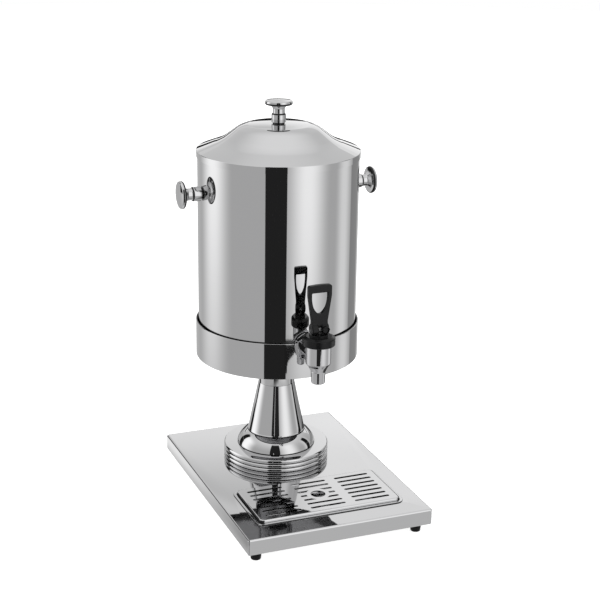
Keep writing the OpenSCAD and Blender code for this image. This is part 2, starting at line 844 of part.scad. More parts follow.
// Front outline of the handle, on the pin as its origin
function handle_outline() =
    let (
        w = handle_w / 2,
        h = handle_h,
        ear = ears_w / 2
    )
    rounded([
        [0, h, top_arch_r],
        [w, h - top_arch, handle_edge_r],
        [w, h * widest_h_share, w],
        [w * hip_w_share, h * hip_h_share, w],
        [w * waist_w_share, h * waist_h_share, 0],
        [w * waist_w_share, h * notch_h_share, 0],
        [ear, h * notch_h_share, handle_edge_r / 2],
        [ear, -cam_r, ear_round_r],
        [-ear, -cam_r, ear_round_r],
        [-ear, h * notch_h_share, handle_edge_r / 2],
        [-w * waist_w_share, h * notch_h_share, 0],
        [-w * waist_w_share, h * waist_h_share, 0],
        [-w * hip_w_share, h * hip_h_share, w],
        [-w, h * widest_h_share, w],
        [-w, h - top_arch, handle_edge_r]
    ]);

// Window of the handle: flat on top, with sides that curve down to a round point
function window_outline() =
    let (
        w = handle_w / 2 - loop_border,
        top = handle_h - top_border,
        low = handle_h * window_low_share
    )
    concat(
        [for (i = [-window_steps:window_steps])
            let (a = 90 * i / window_steps, share = sin(a))
            [w * share, low + (top - low) * (1 - pow(cos(a), window_power / 2))]]
    );

// Handle: a flat loop on two round ears that roll on the hub and lift the stem
module tap_handle() {
    slot_r = lug_d / 2 + lug_gap;
    color("#242424") on_tap_axis(pin_z) difference() {
        intersection() {
            translate([0, handle_d_front(), 0]) rotate([90, 0, 0])
                linear_extrude(2 * handle_d_front(), center = false) polygon(handle_outline());
            union() {
                translate([-handle_w / 2, -handle_t / 2, 0]) cube([handle_w, handle_t, handle_h]);
                translate([-handle_w / 2, -cam_offset, 0]) rotate([0, 90, 0])
                    cylinder(h = handle_w, r = cam_r);
                translate([-handle_w / 2, 0, boss_up]) rotate([0, 90, 0]) cylinder(h = handle_w, r = boss_r);
            }
        }
        rotate([90, 0, 0]) translate([0, 0, -handle_w]) linear_extrude(2 * handle_w) polygon(window_outline());
        translate([-lug_w / 2 - lug_gap, 0, 0]) rotate([0, 90, 0]) cylinder(h = lug_w + 2 * lug_gap, r = slot_r);
        translate([-lug_w / 2 - lug_gap, -handle_w, -handle_w])
            cube([lug_w + 2 * lug_gap, 2 * handle_w, handle_w]);
        translate([-handle_w, 0, 0]) rotate([0, 90, 0]) cylinder(h = 2 * handle_w, d = pin_d + 2 * fit_gap);
        translate([ear_recess_x, ear_recess_depth - cam_offset - cam_r, 0]) rotate([90, 0, 0])
            cylinder(h = ear_recess_depth + overrun, r = ear_recess_r);
    }
}

// Half-depth of the block that the handle's outline is cut from
function handle_d_front() = cam_offset + cam_r + overrun;

module tap_pin() {
    len = ears_w - 2 * seat_gap;
    color("gainsboro") on_tap_axis(pin_z) translate([-len / 2, 0, 0]) rotate([0, 90, 0])
        cylinder(h = len, d = pin_d);
}

// Stem: a rod flattened to a lug for the pin above the bonnet, with a collar above the seat cup
module tap_stem() {
    low_z = cup_low_z + cup_h - cup_sleeve_h;
    flat_z = pin_z - stem_flat_h;
    color("gainsboro") on_tap_axis(0) difference() {
        union() {
            translate([0, 0, low_z]) cylinder(h = flat_z - low_z, d = stem_d);
            intersection() {
                translate([0, 0, flat_z]) cylinder(h = stem_flat_h, d = stem_d);
                translate([-lug_w / 2, -stem_d / 2, flat_z]) cube([lug_w, stem_d, stem_flat_h]);
            }
            translate([0, 0, cup_low_z + cup_h]) cylinder(h = stem_flange_t, d = stem_flange_d);
            translate([-lug_w / 2, 0, pin_z]) rotate([0, 90, 0]) cylinder(h = lug_w, d = lug_d);
        }
        translate([-lug_w, 0, pin_z]) rotate([0, 90, 0]) cylinder(h = 2 * lug_w, d = pin_d + 2 * fit_gap);
    }
}

// Seat cup: the soft plug that closes the outlet
module tap_seat_cup() {
    color("white") on_tap_axis(cup_low_z) difference() {
        cylinder(h = cup_h, d = cup_d);
        translate([0, 0, cup_h - cup_sleeve_h]) cylinder(h = cup_sleeve_h + overrun, d = stem_d + 2 * fit_gap);
    }
}

// Spring: a round wire swept up a helix between the stem's collar and the bonnet
module tap_spring() {
    steps = spring_turns * spring_steps;
    low = spring_low_z + spring_wire_d / 2;
    high = bonnet_roof_z - spring_wire_d / 2;
    points = [for (i = [0:steps], k = [0:spring_sides - 1])
        let (
            a = 360 * i / spring_steps,
            b = 360 * k / spring_sides,
            r = spring_mean_d / 2 + spring_wire_d / 2 * cos(b)
        )
        [r * cos(a), r * sin(a), low + (high - low) * i / steps + spring_wire_d / 2 * sin(b)]];
    sides = [for (i = [0:steps - 1], k = [0:spring_sides - 1])
        let (n = (k + 1) % spring_sides, a = i * spring_sides, b = (i + 1) * spring_sides)
        [a + k, b + k, b + n, a + n]];
    last = steps * spring_sides;
    ends = [
        [for (k = [0:spring_sides - 1]) k],
        [for (k = [0:spring_sides - 1]) last + spring_sides - 1 - k]
    ];
    color("gainsboro") on_tap_axis(0) polyhedron(points, concat(sides, ends));
}

base_plate();
foot(-1, -1);  // foot_front_left
foot(1, -1);  // foot_front_right
foot(-1, 1);  // foot_rear_left
foot(1, 1);  // foot_rear_right
foot_screws();
foot_nuts();
drip_tray();
drip_grate();
pedestal_collar();
pedestal_dome();
pedestal_cone();
pedestal_neck();
tie_rod();
clamp_plate();
tie_rod_washer();
tie_rod_nuts();
support_plate();
band();
vessel_spacer();
vessel();
vessel_studs();
vessel_nuts();
lid();
lid_knob();
lid_screw();
lid_washer();
left_knob();
right_knob();
knob_screws();
knob_washers();
tap_body();
tap_flange();
tap_outer_gasket();
tap_inner_gasket();
tap_lock_nut();
tap_bonnet();
tap_handle();
tap_pin();
tap_stem();
tap_seat_cup();
tap_spring();
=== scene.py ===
"""Looks for the milk dispenser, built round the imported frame.

Polished sheet pieces, turned knobs, the tap and its handle stand in a studio that their steel reflects.
"""
import math

import bmesh
import bpy
from mathutils import Matrix, Vector


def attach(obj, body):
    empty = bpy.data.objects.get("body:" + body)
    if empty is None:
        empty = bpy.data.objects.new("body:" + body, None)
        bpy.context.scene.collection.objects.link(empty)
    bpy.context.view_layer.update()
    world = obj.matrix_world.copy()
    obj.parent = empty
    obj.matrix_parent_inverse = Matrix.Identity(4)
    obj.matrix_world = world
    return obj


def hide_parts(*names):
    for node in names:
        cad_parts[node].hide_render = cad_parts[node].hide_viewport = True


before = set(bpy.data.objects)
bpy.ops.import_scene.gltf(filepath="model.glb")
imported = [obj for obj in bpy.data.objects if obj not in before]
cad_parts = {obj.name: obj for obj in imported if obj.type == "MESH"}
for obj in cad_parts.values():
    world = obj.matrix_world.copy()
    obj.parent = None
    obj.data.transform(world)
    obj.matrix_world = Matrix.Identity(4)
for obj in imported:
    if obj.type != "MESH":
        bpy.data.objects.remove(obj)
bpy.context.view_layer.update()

MM = 0.001

# Camera of the photograph
IMAGE_SIZE = 600
VIEW_AZIMUTH = math.radians(-21.40)
VIEW_ELEVATION = math.radians(18.88)
VIEW_ROLL = math.radians(0.60)
VIEW_DISTANCE = 1.9589
VIEW_TARGET = Vector((0, 0.03605, 0.250))
FOCAL_PIXELS = 1421.78
MIDDLE_PIXEL = (284.57, 317.56)
SENSOR_WIDTH = 36

# Smoothness of turned and rounded shapes, and the distance in metres below which points are one
TURN_STEPS = 256
SMALL_TURN_STEPS = 128
TINY_TURN_STEPS = 64
ARC_STEPS = 12
SHARP_ANGLE = math.radians(32)
WELD = 1e-6

# Sizes in millimetres, as in the part's source.
# Base: width, depth, top, and underside of its flanges
BASE_W, BASE_D, BASE_TOP, BASE_LOW = 260, 356, 36.5, 13.2
# Upright axis of the pedestal, the vessel and the lid; radius, underside and rim of the vessel
BODY_Y = 65.0
VESSEL_R, VESSEL_LOW, VESSEL_TOP = 109.4, 212.0, 480.0
# Upright axis of the tap, height of its shank and of the handle's pin, front of its flange
TAP_Y, SHANK_Z, PIN_Z = -86.7, 238.0, 273.4
FLANGE_Y = BODY_Y - VESSEL_R - 4.6
# Middle of the tray and the grate, width, depth and corner of the tray's rim, width and depth of its pan
TRAY_Y, TRAY_W, TRAY_D, TRAY_CORNER = -94.0, 210, 107, 12
PAN_W, PAN_D = 203, 100


def linked(name, data):
    """New object in the scene."""
    obj = bpy.data.objects.new(name, data)
    bpy.context.scene.collection.objects.link(obj)
    return obj


def camera():
    """Camera at the photograph's angle, with its middle shifted as the photograph is cropped."""
    back = Vector((
        math.sin(VIEW_AZIMUTH) * math.cos(VIEW_ELEVATION),
        -math.cos(VIEW_AZIMUTH) * math.cos(VIEW_ELEVATION),
        math.sin(VIEW_ELEVATION),
    ))
    right = Vector((math.cos(VIEW_AZIMUTH), math.sin(VIEW_AZIMUTH), 0))
    up = back.cross(right)
    c, s = math.cos(VIEW_ROLL), math.sin(VIEW_ROLL)
    turned_right, turned_up = c * right + s * up, c * up - s * right
    data = bpy.data.cameras.new("camera")
    data.sensor_width = SENSOR_WIDTH
    data.lens = FOCAL_PIXELS * SENSOR_WIDTH / IMAGE_SIZE
    data.shift_x = (IMAGE_SIZE / 2 - MIDDLE_PIXEL[0]) / IMAGE_SIZE
    data.shift_y = (MIDDLE_PIXEL[1] - IMAGE_SIZE / 2) / IMAGE_SIZE
    obj = linked("camera", data)
    place = Matrix((turned_right, turned_up, back)).transposed().to_4x4()
    place.translation = VIEW_TARGET + back * VIEW_DISTANCE
    obj.matrix_world = place
    bpy.context.scene.camera = obj
    bpy.context.scene.view_settings.view_transform = "Standard"


# Node helpers


class Nodes:
    """Short way to add nodes to one tree and link them."""

    def __init__(self, tree):
        self.tree = tree
        self.tree.nodes.clear()

    def add(self, kind, inputs=None, **settings):
        node = self.tree.nodes.new(kind)
        for key, value in settings.items():
            setattr(node, key, value)
        for key, value in (inputs or {}).items():
            self.feed(node.inputs[key], value)
        return node

    def feed(self, socket, value):
        if isinstance(value, bpy.types.NodeSocket):
            self.tree.links.new(value, socket)
        else:
            socket.default_value = value

    def math(self, operation, *values, clamp=False):
        node = self.add("ShaderNodeMath", operation=operation, use_clamp=clamp)
        for socket, value in zip(node.inputs, values):
            self.feed(socket, value)
        return node.outputs[0]

    def mix(self, factor, a, b, blend="MIX"):
        """Colour that is a where the factor is 0 and b where it is 1."""
        node = self.add("ShaderNodeMix", data_type="RGBA", blend_type=blend)
        self.feed(node.inputs[0], factor)
        self.feed(node.inputs[6], a)
        self.feed(node.inputs[7], b)
        return node.outputs[2]

    def between(self, factor, a, b):
        """Value that is a where the factor is 0 and b where it is 1."""
        return self.add("ShaderNodeMix", {0: factor, 2: a, 3: b}).outputs[0]

    def soft(self, value, low, high):
        """Smooth mask that is 0 at low and 1 at high."""
        return self.add(
            "ShaderNodeMapRange",
            {"Value": value, "From Min": low, "From Max": high},
            interpolation_type="SMOOTHSTEP",
        ).outputs["Result"]

    def place(self):
        """Coordinates of the shaded point, in metres."""
        return self.add("ShaderNodeSeparateXYZ", {0: self.add("ShaderNodeTexCoord").outputs["Object"]}).outputs

    def length(self, x, y):
        return self.math("SQRT", self.math("ADD", self.math("MULTIPLY", x, x), self.math("MULTIPLY", y, y)))

    def to_camera(self, x, y):
        """Level distances towards the camera and to its right."""
        sin_a, cos_a = math.sin(VIEW_AZIMUTH), math.cos(VIEW_AZIMUTH)
        towards = self.math("SUBTRACT", self.math("MULTIPLY", x, sin_a), self.math("MULTIPLY", y, cos_a))
        rightwards = self.math("ADD", self.math("MULTIPLY", x, cos_a), self.math("MULTIPLY", y, sin_a))
        return towards, rightwards

    def azimuth(self, towards, rightwards):
        """Direction in degrees from the camera, positive to its right."""
        return self.math("DEGREES", self.math("ARCTAN2", rightwards, towards))


def grey(level):
    return (level, level, level, 1)


def new_material(name):
    """New material, and its nodes."""
    material = bpy.data.materials.new(name)
    material.use_nodes = True
    return material, Nodes(material.node_tree)


def group(name, inputs, outputs):
    """New shader node group with float sockets; the inputs are given as (name, default)."""
    tree = bpy.data.node_groups.new(name, "ShaderNodeTree")
    for socket_name, default in inputs:
        socket = tree.interface.new_socket(socket_name, in_out="INPUT", socket_type="NodeSocketFloat")
        socket.default_value = default
    for socket_name in outputs:
        tree.interface.new_socket(socket_name, in_out="OUTPUT", socket_type="NodeSocketFloat")
    return tree


# Studio: what the polished steel reflects

# Grey level of the room's wall, and of its ceiling, which fades in between two elevations in degrees
STUDIO_WALL = 0.565
CEILING_LOW, CEILING_HIGH, CEILING_LEVEL = 10, 80, 1.06
# Panels round the object, in degrees: middle azimuth from the camera (positive to its right), half-width, soft edge,
# lowest and highest elevation, soft edge there, brightness
STUDIO_PANELS = (
    # bright soft boxes at the left and the right
    (-104, 38, 36, -30, 50, 22, 1.52),
    (43, 38, 36, -30, 60, 17, 1.30),
    (108, 20, 18, -200, 45, 16, 0.96),
    # unlit wall far right
    (141, 16, 3, -200, 8, 6, 0.32),
    # pale wall behind
    (-178, 60, 40, 2, 50, 12, 0.79),
    # dark edges of the soft boxes and the wall beyond the right one, as the cone shows them
    (-126, 9.5, 1.5, -12.5, 12, 0.7, 0.015),
    (149, 31, 3, -12.5, 2, 0.7, 0.38),
    (111, 8, 2.5, -12.5, 12, 0.7, 0.02),
    (-126, 8, 1.5, 8, 40, 6, 0.015),
    (111, 8, 2, 8, 40, 6, 0.015),
    # dark gap low behind, as the edges that turn away show it
    (180, 26, 6, -12.4, 5, 1.5, 0.05),
    # black flag beside the camera, with a slit
    (-2.1, 15.6, 0.7, -200, 60, 8, 0.022),
    (-6, 0.8, 0.5, -6, 12, 3, 1.0),
)
# Curved foot of the flag, as the band shows it: right edge and lowest elevation of its steps, then the left edge, the
# highest elevation, the soft edges and the brightness of them all
FLAG_FOOT = (
    (25.6, -20.30), (24.4, -20.37), (22.6, -20.44), (20.6, -20.51), (18.8, -20.59), (17.2, -20.70), (16.0, -20.86),
    (15.2, -21.25))
FOOT_LEFT, FOOT_HIGH, FOOT_SIDE_EDGE, FOOT_END_EDGE, FOOT_LEVEL = 11.0, -19.79, 0.7, 0.03, 0.018

# White card low behind the object, in metres: its place and size, its grey levels low, high and at the top on its left
# and its right side, the heights between which they fade, and the dark bar across it
CARD_Y, CARD_W, CARD_LOW, CARD_TOP = 2.0, 3.0, 0.46, 1.34
CARD_LEFT, CARD_RIGHT, CARD_SPLIT = (1.12, 0.72, 0.84), (1.20, 1.10, 1.02), (-0.08, 0.14)
FADE_LEFT, FADE_RIGHT, FADE_TOP = (0.80, 1.08), (0.80, 0.95), (1.08, 1.16)
BAR_LEFT, BAR_RIGHT, BAR_EDGE, BAR_LEVEL = (0.59, 0.775), (0.66, 0.77), 0.012, 0.012
BAR_MIDDLE, BAR_MIDDLE_HIGH = (0.22, 0.16), (0.805, 0.772)

# Floor in metres: its size, its tone and its glow, which makes it white to the camera
FLOOR_R, FLOOR_SEGMENTS, FLOOR_TONE, FLOOR_GLOW = 6.0, 96, 0.8, 0.80
# Table that the steel shows in the floor's place, in metres and grey levels: its end, its level in the middle, left
# of the base from front to back, and right of the base
TABLE_END, TABLE_LEVEL = (0.33, 0.38), 0.68
LEFT_FROM, LEFT_DEPTH, LEFT_LEVELS = (-0.135, -0.15), (-0.16, 0.22), (0.38, 1.12)
RIGHT_FROM, RIGHT_DEPTH, RIGHT_LEVEL = (0.135, 0.15), (-0.17, -0.13), 0.06
# Two dark strips on the table that the cone shows near its edges: their directions from the pedestal's axis, in
# degrees as above, half-width and soft edge; distance from the axis in metres, soft edge there; grey level
STRIP_AZIMUTHS, STRIP_HALF_WIDTH, STRIP_SIDE_EDGE = (-121.5, 106.5), 9.0, 1.5
STRIP_NEAR, STRIP_FAR, STRIP_END_EDGE, STRIP_LEVEL = 0.30, 0.55, 0.02, 0.015

# Soft lamp: place and aim in metres, side and power
LAMP_PLACE, LAMP_AIM, LAMP_SIZE, LAMP_POWER = Vector((-0.9, -1.3, 1.7)), Vector((0, 0, 0.25)), 1.4, 8

PANEL_INPUTS = ("Azimuth", "Elevation", "Middle", "Half Width", "Side Edge", "Low", "High", "End Edge")


def panel_group():
    """Mask of one soft-edged panel on the sphere round the object, or on the table round the pedestal's axis."""
    tree = group("studio_panel", [(name, 0.0) for name in PANEL_INPUTS], ["Mask"])
    n = Nodes(tree)
    given = n.add("NodeGroupInput").outputs
    away = n.math("ABSOLUTE", n.math("WRAP", n.math("SUBTRACT", given["Azimuth"], given["Middle"]), 180.0, -180.0))
    side = n.soft(away, given["Half Width"], n.math("SUBTRACT", given["Half Width"], given["Side Edge"]))
    low = n.soft(given["Elevation"], given["Low"], n.math("ADD", given["Low"], given["End Edge"]))
    high = n.soft(given["Elevation"], given["High"], n.math("SUBTRACT", given["High"], given["End Edge"]))
    mask = n.math("MULTIPLY", side, n.math("MULTIPLY", low, high))
    n.add("NodeGroupOutput", {"Mask": mask})
    return tree


def panel_mask(n, *values):
    """Mask of one panel, with the values in the order of PANEL_INPUTS."""
    return n.add("ShaderNodeGroup", dict(zip(PANEL_INPUTS, values)), node_tree=PANEL).outputs["Mask"]


def studio():
    """World: white to the camera, and to the steel a room of soft boxes, grey wall, black flag and pale ceiling."""
    world = bpy.data.worlds.new("studio")
    bpy.context.scene.world = world
    world.use_nodes = True
    n = Nodes(world.node_tree)
    direction = n.add("ShaderNodeSeparateXYZ", {0: n.add("ShaderNodeTexCoord").outputs["Generated"]}).outputs
    azimuth = n.azimuth(*n.to_camera(direction[0], direction[1]))
    elevation = n.math("DEGREES", n.math("ARCSINE", direction[2]))
    colour = n.mix(n.soft(elevation, CEILING_LOW, CEILING_HIGH), grey(STUDIO_WALL), grey(CEILING_LEVEL))
    foot = [
        ((FOOT_LEFT + right) / 2, (right - FOOT_LEFT) / 2, FOOT_SIDE_EDGE, low, FOOT_HIGH, FOOT_END_EDGE, FOOT_LEVEL)
        for right, low in FLAG_FOOT]
    for *panel, level in (*STUDIO_PANELS, *foot):
        colour = n.mix(panel_mask(n, azimuth, elevation, *panel), colour, grey(level))
    room = n.add("ShaderNodeBackground", {"Color": colour, "Strength": 1.0}).outputs[0]
    white = n.add("ShaderNodeBackground", {"Color": grey(1.0), "Strength": 1.0}).outputs[0]
    seen = n.add("ShaderNodeLightPath").outputs["Is Camera Ray"]
    n.add("ShaderNodeOutputWorld", {"Surface": n.add("ShaderNodeMixShader", {0: seen, 1: room, 2: white}).outputs[0]})


def card():
    """White card low behind the object, seen only in the polished steel."""
    bm = bmesh.new()
    bmesh.ops.create_grid(bm, x_segments=1, y_segments=1, size=0.5)
    bmesh.ops.scale(bm, verts=bm.verts[:], vec=(CARD_W, CARD_TOP - CARD_LOW, 1))
    turn(bm, math.pi / 2, "X")
    bmesh.ops.translate(bm, verts=bm.verts[:], vec=(0, CARD_Y, (CARD_TOP + CARD_LOW) / 2))
    turn(bm, VIEW_AZIMUTH, "Z")
    mesh = mesh_from("card", bm)
    linked("card", mesh)
    material, n = new_material("white_card")
    place = n.place()
    _, across = n.to_camera(place[0], place[1])
    side = n.soft(across, *CARD_SPLIT)
    shades = [n.mix(n.soft(place[2], *FADE_TOP), n.mix(n.soft(place[2], *fade), grey(low), grey(high)), grey(top))
              for fade, (low, high, top) in ((FADE_LEFT, CARD_LEFT), (FADE_RIGHT, CARD_RIGHT))]
    shown = n.mix(side, *shades)
    middle = n.soft(n.math("ABSOLUTE", across), *BAR_MIDDLE)
    low = n.between(middle, n.between(side, BAR_LEFT[0], BAR_RIGHT[0]), BAR_LEFT[0])
    high = n.between(middle, n.between(side, BAR_LEFT[1], BAR_RIGHT[1]), n.between(side, *BAR_MIDDLE_HIGH))
    bar = n.math("MULTIPLY", n.soft(place[2], low, n.math("ADD", low, BAR_EDGE)),
                 n.soft(place[2], high, n.math("SUBTRACT", high, BAR_EDGE)))
    shown = n.mix(bar, shown, grey(BAR_LEVEL))
    glow = n.add("ShaderNodeEmission", {"Color": shown, "Strength": 1.0}).outputs[0]
    clear = n.add("ShaderNodeBsdfTransparent").outputs[0]
    mirrored = n.add("ShaderNodeLightPath").outputs["Is Glossy Ray"]
    surface = n.add("ShaderNodeMixShader", {0: mirrored, 1: clear, 2: glow}).outputs[0]
    n.add("ShaderNodeOutputMaterial", {"Surface": surface})
    mesh.materials.append(material)


def floor():
    """Pale floor that is white to the camera, keeps a soft shadow, and shows the steel a grey table."""
    bm = bmesh.new()
    bmesh.ops.create_circle(bm, cap_ends=True, segments=FLOOR_SEGMENTS, radius=FLOOR_R)
    mesh = mesh_from("floor", bm)
    linked("floor", mesh)
    material, n = new_material("pale_table")
    place = n.place()
    left = n.soft(place[0], *LEFT_FROM)
    beside = n.mix(n.soft(place[1], *LEFT_DEPTH), *map(grey, LEFT_LEVELS))
    right = n.math("MULTIPLY", n.soft(place[0], *RIGHT_FROM), n.soft(place[1], *RIGHT_DEPTH))
    shade = n.mix(left, n.mix(right, grey(TABLE_LEVEL), grey(RIGHT_LEVEL)), beside)
    from_axis = n.to_camera(place[0], n.math("SUBTRACT", place[1], BODY_Y * MM))
    azimuth, away = n.azimuth(*from_axis), n.length(*from_axis)
    strips = [
        panel_mask(n, azimuth, away, middle, STRIP_HALF_WIDTH, STRIP_SIDE_EDGE, STRIP_NEAR, STRIP_FAR, STRIP_END_EDGE)
        for middle in STRIP_AZIMUTHS]
    strip = n.math("ADD", *strips, clamp=True)
    shade = n.mix(strip, shade, grey(STRIP_LEVEL))
    far = n.math("MULTIPLY", n.soft(n.length(place[0], place[1]), *TABLE_END), n.math("SUBTRACT", 1.0, strip))
    table = n.add("ShaderNodeEmission", {"Color": shade, "Strength": 1.0}).outputs[0]
    clear = n.add("ShaderNodeBsdfTransparent").outputs[0]
    mirrored = n.add("ShaderNodeMixShader", {0: far, 1: table, 2: clear}).outputs[0]
    diffuse = n.add("ShaderNodeBsdfDiffuse", {"Color": grey(FLOOR_TONE)}).outputs[0]
    glow = n.add("ShaderNodeEmission", {"Color": grey(1.0), "Strength": FLOOR_GLOW}).outputs[0]
    lit = n.add("ShaderNodeAddShader", {0: diffuse, 1: glow}).outputs[0]
    glossy = n.add("ShaderNodeLightPath").outputs["Is Glossy Ray"]
    surface = n.add("ShaderNodeMixShader", {0: glossy, 1: lit, 2: mirrored}).outputs[0]
    n.add("ShaderNodeOutputMaterial", {"Surface": surface})
    mesh.materials.append(material)


def lamp():
    """Soft square lamp aimed at the middle of the object."""
    data = bpy.data.lights.new("key_light", "AREA")
    data.shape = "SQUARE"
    data.size = LAMP_SIZE
    data.energy = LAMP_POWER
    obj = linked("key_light", data)
    obj.location = LAMP_PLACE
    obj.rotation_mode = "QUATERNION"
    obj.rotation_quaternion = (LAMP_PLACE - LAMP_AIM).to_track_quat("Z", "Y")
    obj.visible_glossy = False


# Materials

# Wide clouds in the polish, and the range of the noise that turns into roughness
CLOUD_SCALE, CLOUD_DETAIL, LINE_DETAIL, NOISE_LOW, NOISE_HIGH = 14.0, 3.0, 4.0, 0.35, 0.7
# Broad variation of moulded pieces: scale, detail, darkest and lightest tone, and spread of the roughness
BROAD_SCALE, BROAD_DETAIL, GRAIN_DETAIL, TONE_LOW, TONE_HIGH, ROUGH_SPREAD = 60.0, 3.0, 2.0, 0.8, 1.25, 0.12
# Depth of all bumps in metres
BUMP_DEPTH = 0.0002
# Colour, scale and stretch of the marks, their tint, lowest and highest roughness, strength of the bump
METALS = {
    "polished_steel": ((0.62, 0.62, 0.625), 12.0, 30.0, 0.03, 0.01, 0.035, 0.0),
    "pressed_steel": ((0.62, 0.62, 0.625), 42.0, 1.0, 0.03, 0.012, 0.04, 0.25),
    "knob_steel": ((0.61, 0.61, 0.615), 60.0, 12.0, 0.04, 0.03, 0.07, 0.0),
    "tap_chrome": ((0.63, 0.63, 0.64), 60.0, 6.0, 0.03, 0.02, 0.05, 0.0),
    "plain_steel": ((0.40, 0.40, 0.41), 60.0, 40.0, 0.15, 0.22, 0.38, 0.2),
    "fastener_steel": ((0.52, 0.52, 0.53), 200.0, 4.0, 0.1, 0.16, 0.3, 0.0),
    # Painted shade: the last two are darkened steels given to faces that lie in shade, the second a lighter shade
    "shaded_steel": ((0.055, 0.055, 0.056), 40.0, 4.0, 0.3, 0.35, 0.55, 0.0),
    "painted_half_shade_steel": ((0.17, 0.17, 0.172), 40.0, 4.0, 0.3, 0.25, 0.45, 0.0),
}
# Colour, roughness, scale of the grain, strength of the bump, gloss
MOULDED = {
    "black_plastic": ((0.006, 0.006, 0.0064), 0.2, 900.0, 0.05, 0.2),
    "black_rubber": ((0.004, 0.004, 0.004), 0.45, 1400.0, 0.25, 0.15),
    "white_silicone": ((0.80, 0.80, 0.78), 0.5, 1200.0, 0.1, 0.5),
}


def polish_group():
    """Faint variation left by polishing: a tint, a roughness and a height."""
    tree = group(
        "polish",
        [("Scale", 40.0), ("Stretch", 8.0), ("Tint", 0.03), ("Smooth", 0.02), ("Dull", 0.06)],
        ["Shade", "Roughness", "Height"],
    )
    n = Nodes(tree)
    given = n.add("NodeGroupInput").outputs
    place = n.add("ShaderNodeTexCoord").outputs["Object"]
    upright = n.math("MULTIPLY", given["Scale"], given["Stretch"])
    spread = n.add("ShaderNodeCombineXYZ", {0: given["Scale"], 1: given["Scale"], 2: upright}).outputs[0]
    moved = n.add("ShaderNodeVectorMath", {0: place, 1: spread}, operation="MULTIPLY").outputs[0]
    lines = n.add("ShaderNodeTexNoise", {"Vector": moved, "Scale": 1.0, "Detail": LINE_DETAIL}).outputs["Fac"]
    clouds = n.add(
        "ShaderNodeTexNoise", {"Vector": place, "Scale": CLOUD_SCALE, "Detail": CLOUD_DETAIL}).outputs["Fac"]
    both = n.math("ADD", n.math("MULTIPLY", lines, 0.5), n.math("MULTIPLY", clouds, 0.5))
    shade = n.math("SUBTRACT", 1.0, n.math("MULTIPLY", both, given["Tint"]))
    rough = n.add("ShaderNodeMapRange", {
        "Value": both, "From Min": NOISE_LOW, "From Max": NOISE_HIGH, "To Min": given["Smooth"],
        "To Max": given["Dull"]}).outputs[0]
    n.add("NodeGroupOutput", {"Shade": shade, "Roughness": rough, "Height": lines})
    return tree


def metal(name, colour, scale, stretch, tint, smooth, dull, bump):
    """Polished or plain metal; smooth and dull are its lowest and highest roughness."""
    material, n = new_material(name)
    marks = n.add("ShaderNodeGroup", {
        "Scale": scale, "Stretch": stretch, "Tint": tint, "Smooth": smooth, "Dull": dull}, node_tree=POLISH).outputs
    shaded = n.mix(1.0, (*colour, 1), marks["Shade"], "MULTIPLY")
    shader = n.add("ShaderNodeBsdfPrincipled", {
        "Base Color": shaded, "Metallic": 1.0, "Roughness": marks["Roughness"]})
    if bump:
        raised = n.add("ShaderNodeBump", {"Height": marks["Height"], "Strength": bump, "Distance": BUMP_DEPTH})
        n.feed(shader.inputs["Normal"], raised.outputs[0])
    n.add("ShaderNodeOutputMaterial", {"Surface": shader.outputs[0]})
    return material


def moulded(name, colour, roughness, grain, strength, gloss):
    """Plastic, rubber or silicone with a fine moulded grain."""
    material, n = new_material(name)
    place = n.add("ShaderNodeTexCoord").outputs["Object"]
    fine = n.add("ShaderNodeTexNoise", {"Vector": place, "Scale": grain, "Detail": GRAIN_DETAIL}).outputs["Fac"]
    broad = n.add(
        "ShaderNodeTexNoise", {"Vector": place, "Scale": BROAD_SCALE, "Detail": BROAD_DETAIL}).outputs["Fac"]
    tone = n.mix(broad, *((*(c * level for c in colour), 1) for level in (TONE_LOW, TONE_HIGH)))
    rough = n.math("ADD", n.math("MULTIPLY", broad, ROUGH_SPREAD), roughness - ROUGH_SPREAD / 2)
    raised = n.add("ShaderNodeBump", {"Height": fine, "Strength": strength, "Distance": BUMP_DEPTH})
    shader = n.add("ShaderNodeBsdfPrincipled", {
        "Base Color": tone, "Roughness": rough, "Specular IOR Level": gloss, "Normal": raised.outputs[0]})
    n.add("ShaderNodeOutputMaterial", {"Surface": shader.outputs[0]})
    return material


def finishes():
    """All materials by name: the record's slots, a finish for pressed sheet, and dark steels that paint shade on faces
    out of the light.
    """
    made = {name: metal(name, *values) for name, values in METALS.items()}
    made.update({name: moulded(name, *values) for name, values in MOULDED.items()})
    return made


# Mesh helpers; lengths are in millimetres


def mesh_from(name, bm):
    mesh = bpy.data.meshes.new(name)
    bm.to_mesh(mesh)
    bm.free()
    return mesh


def turn(bm, angle, axis):
    bmesh.ops.rotate(bm, verts=bm.verts[:], cent=(0, 0, 0), matrix=Matrix.Rotation(angle, 3, axis))


def move(bm, x, y, z):
    bmesh.ops.translate(bm, verts=bm.verts[:], vec=(x * MM, y * MM, z * MM))


def verts_in(geom):
    return [v for v in geom if isinstance(v, bmesh.types.BMVert)]


def edges_in(geom):
    return [e for e in geom if isinstance(e, bmesh.types.BMEdge)]


def tidy(bm):
    """Merges doubles and turns the faces outwards."""
    bmesh.ops.remove_doubles(bm, verts=bm.verts[:], dist=WELD)
    bmesh.ops.recalc_face_normals(bm, faces=bm.faces[:])


def open_edges_sharp(mesh):
    """Keeps the shading of an open sheet apart from that of the rim its thickness adds."""
    used = [0] * len(mesh.edges)
    for corner in mesh.loops:
        used[corner.edge_index] += 1
    sharp = mesh.attributes.get("sharp_edge") or mesh.attributes.new("sharp_edge", "BOOLEAN", "EDGE")
    for i, count in enumerate(used):
        if count == 1:
            sharp.data[i].value = True


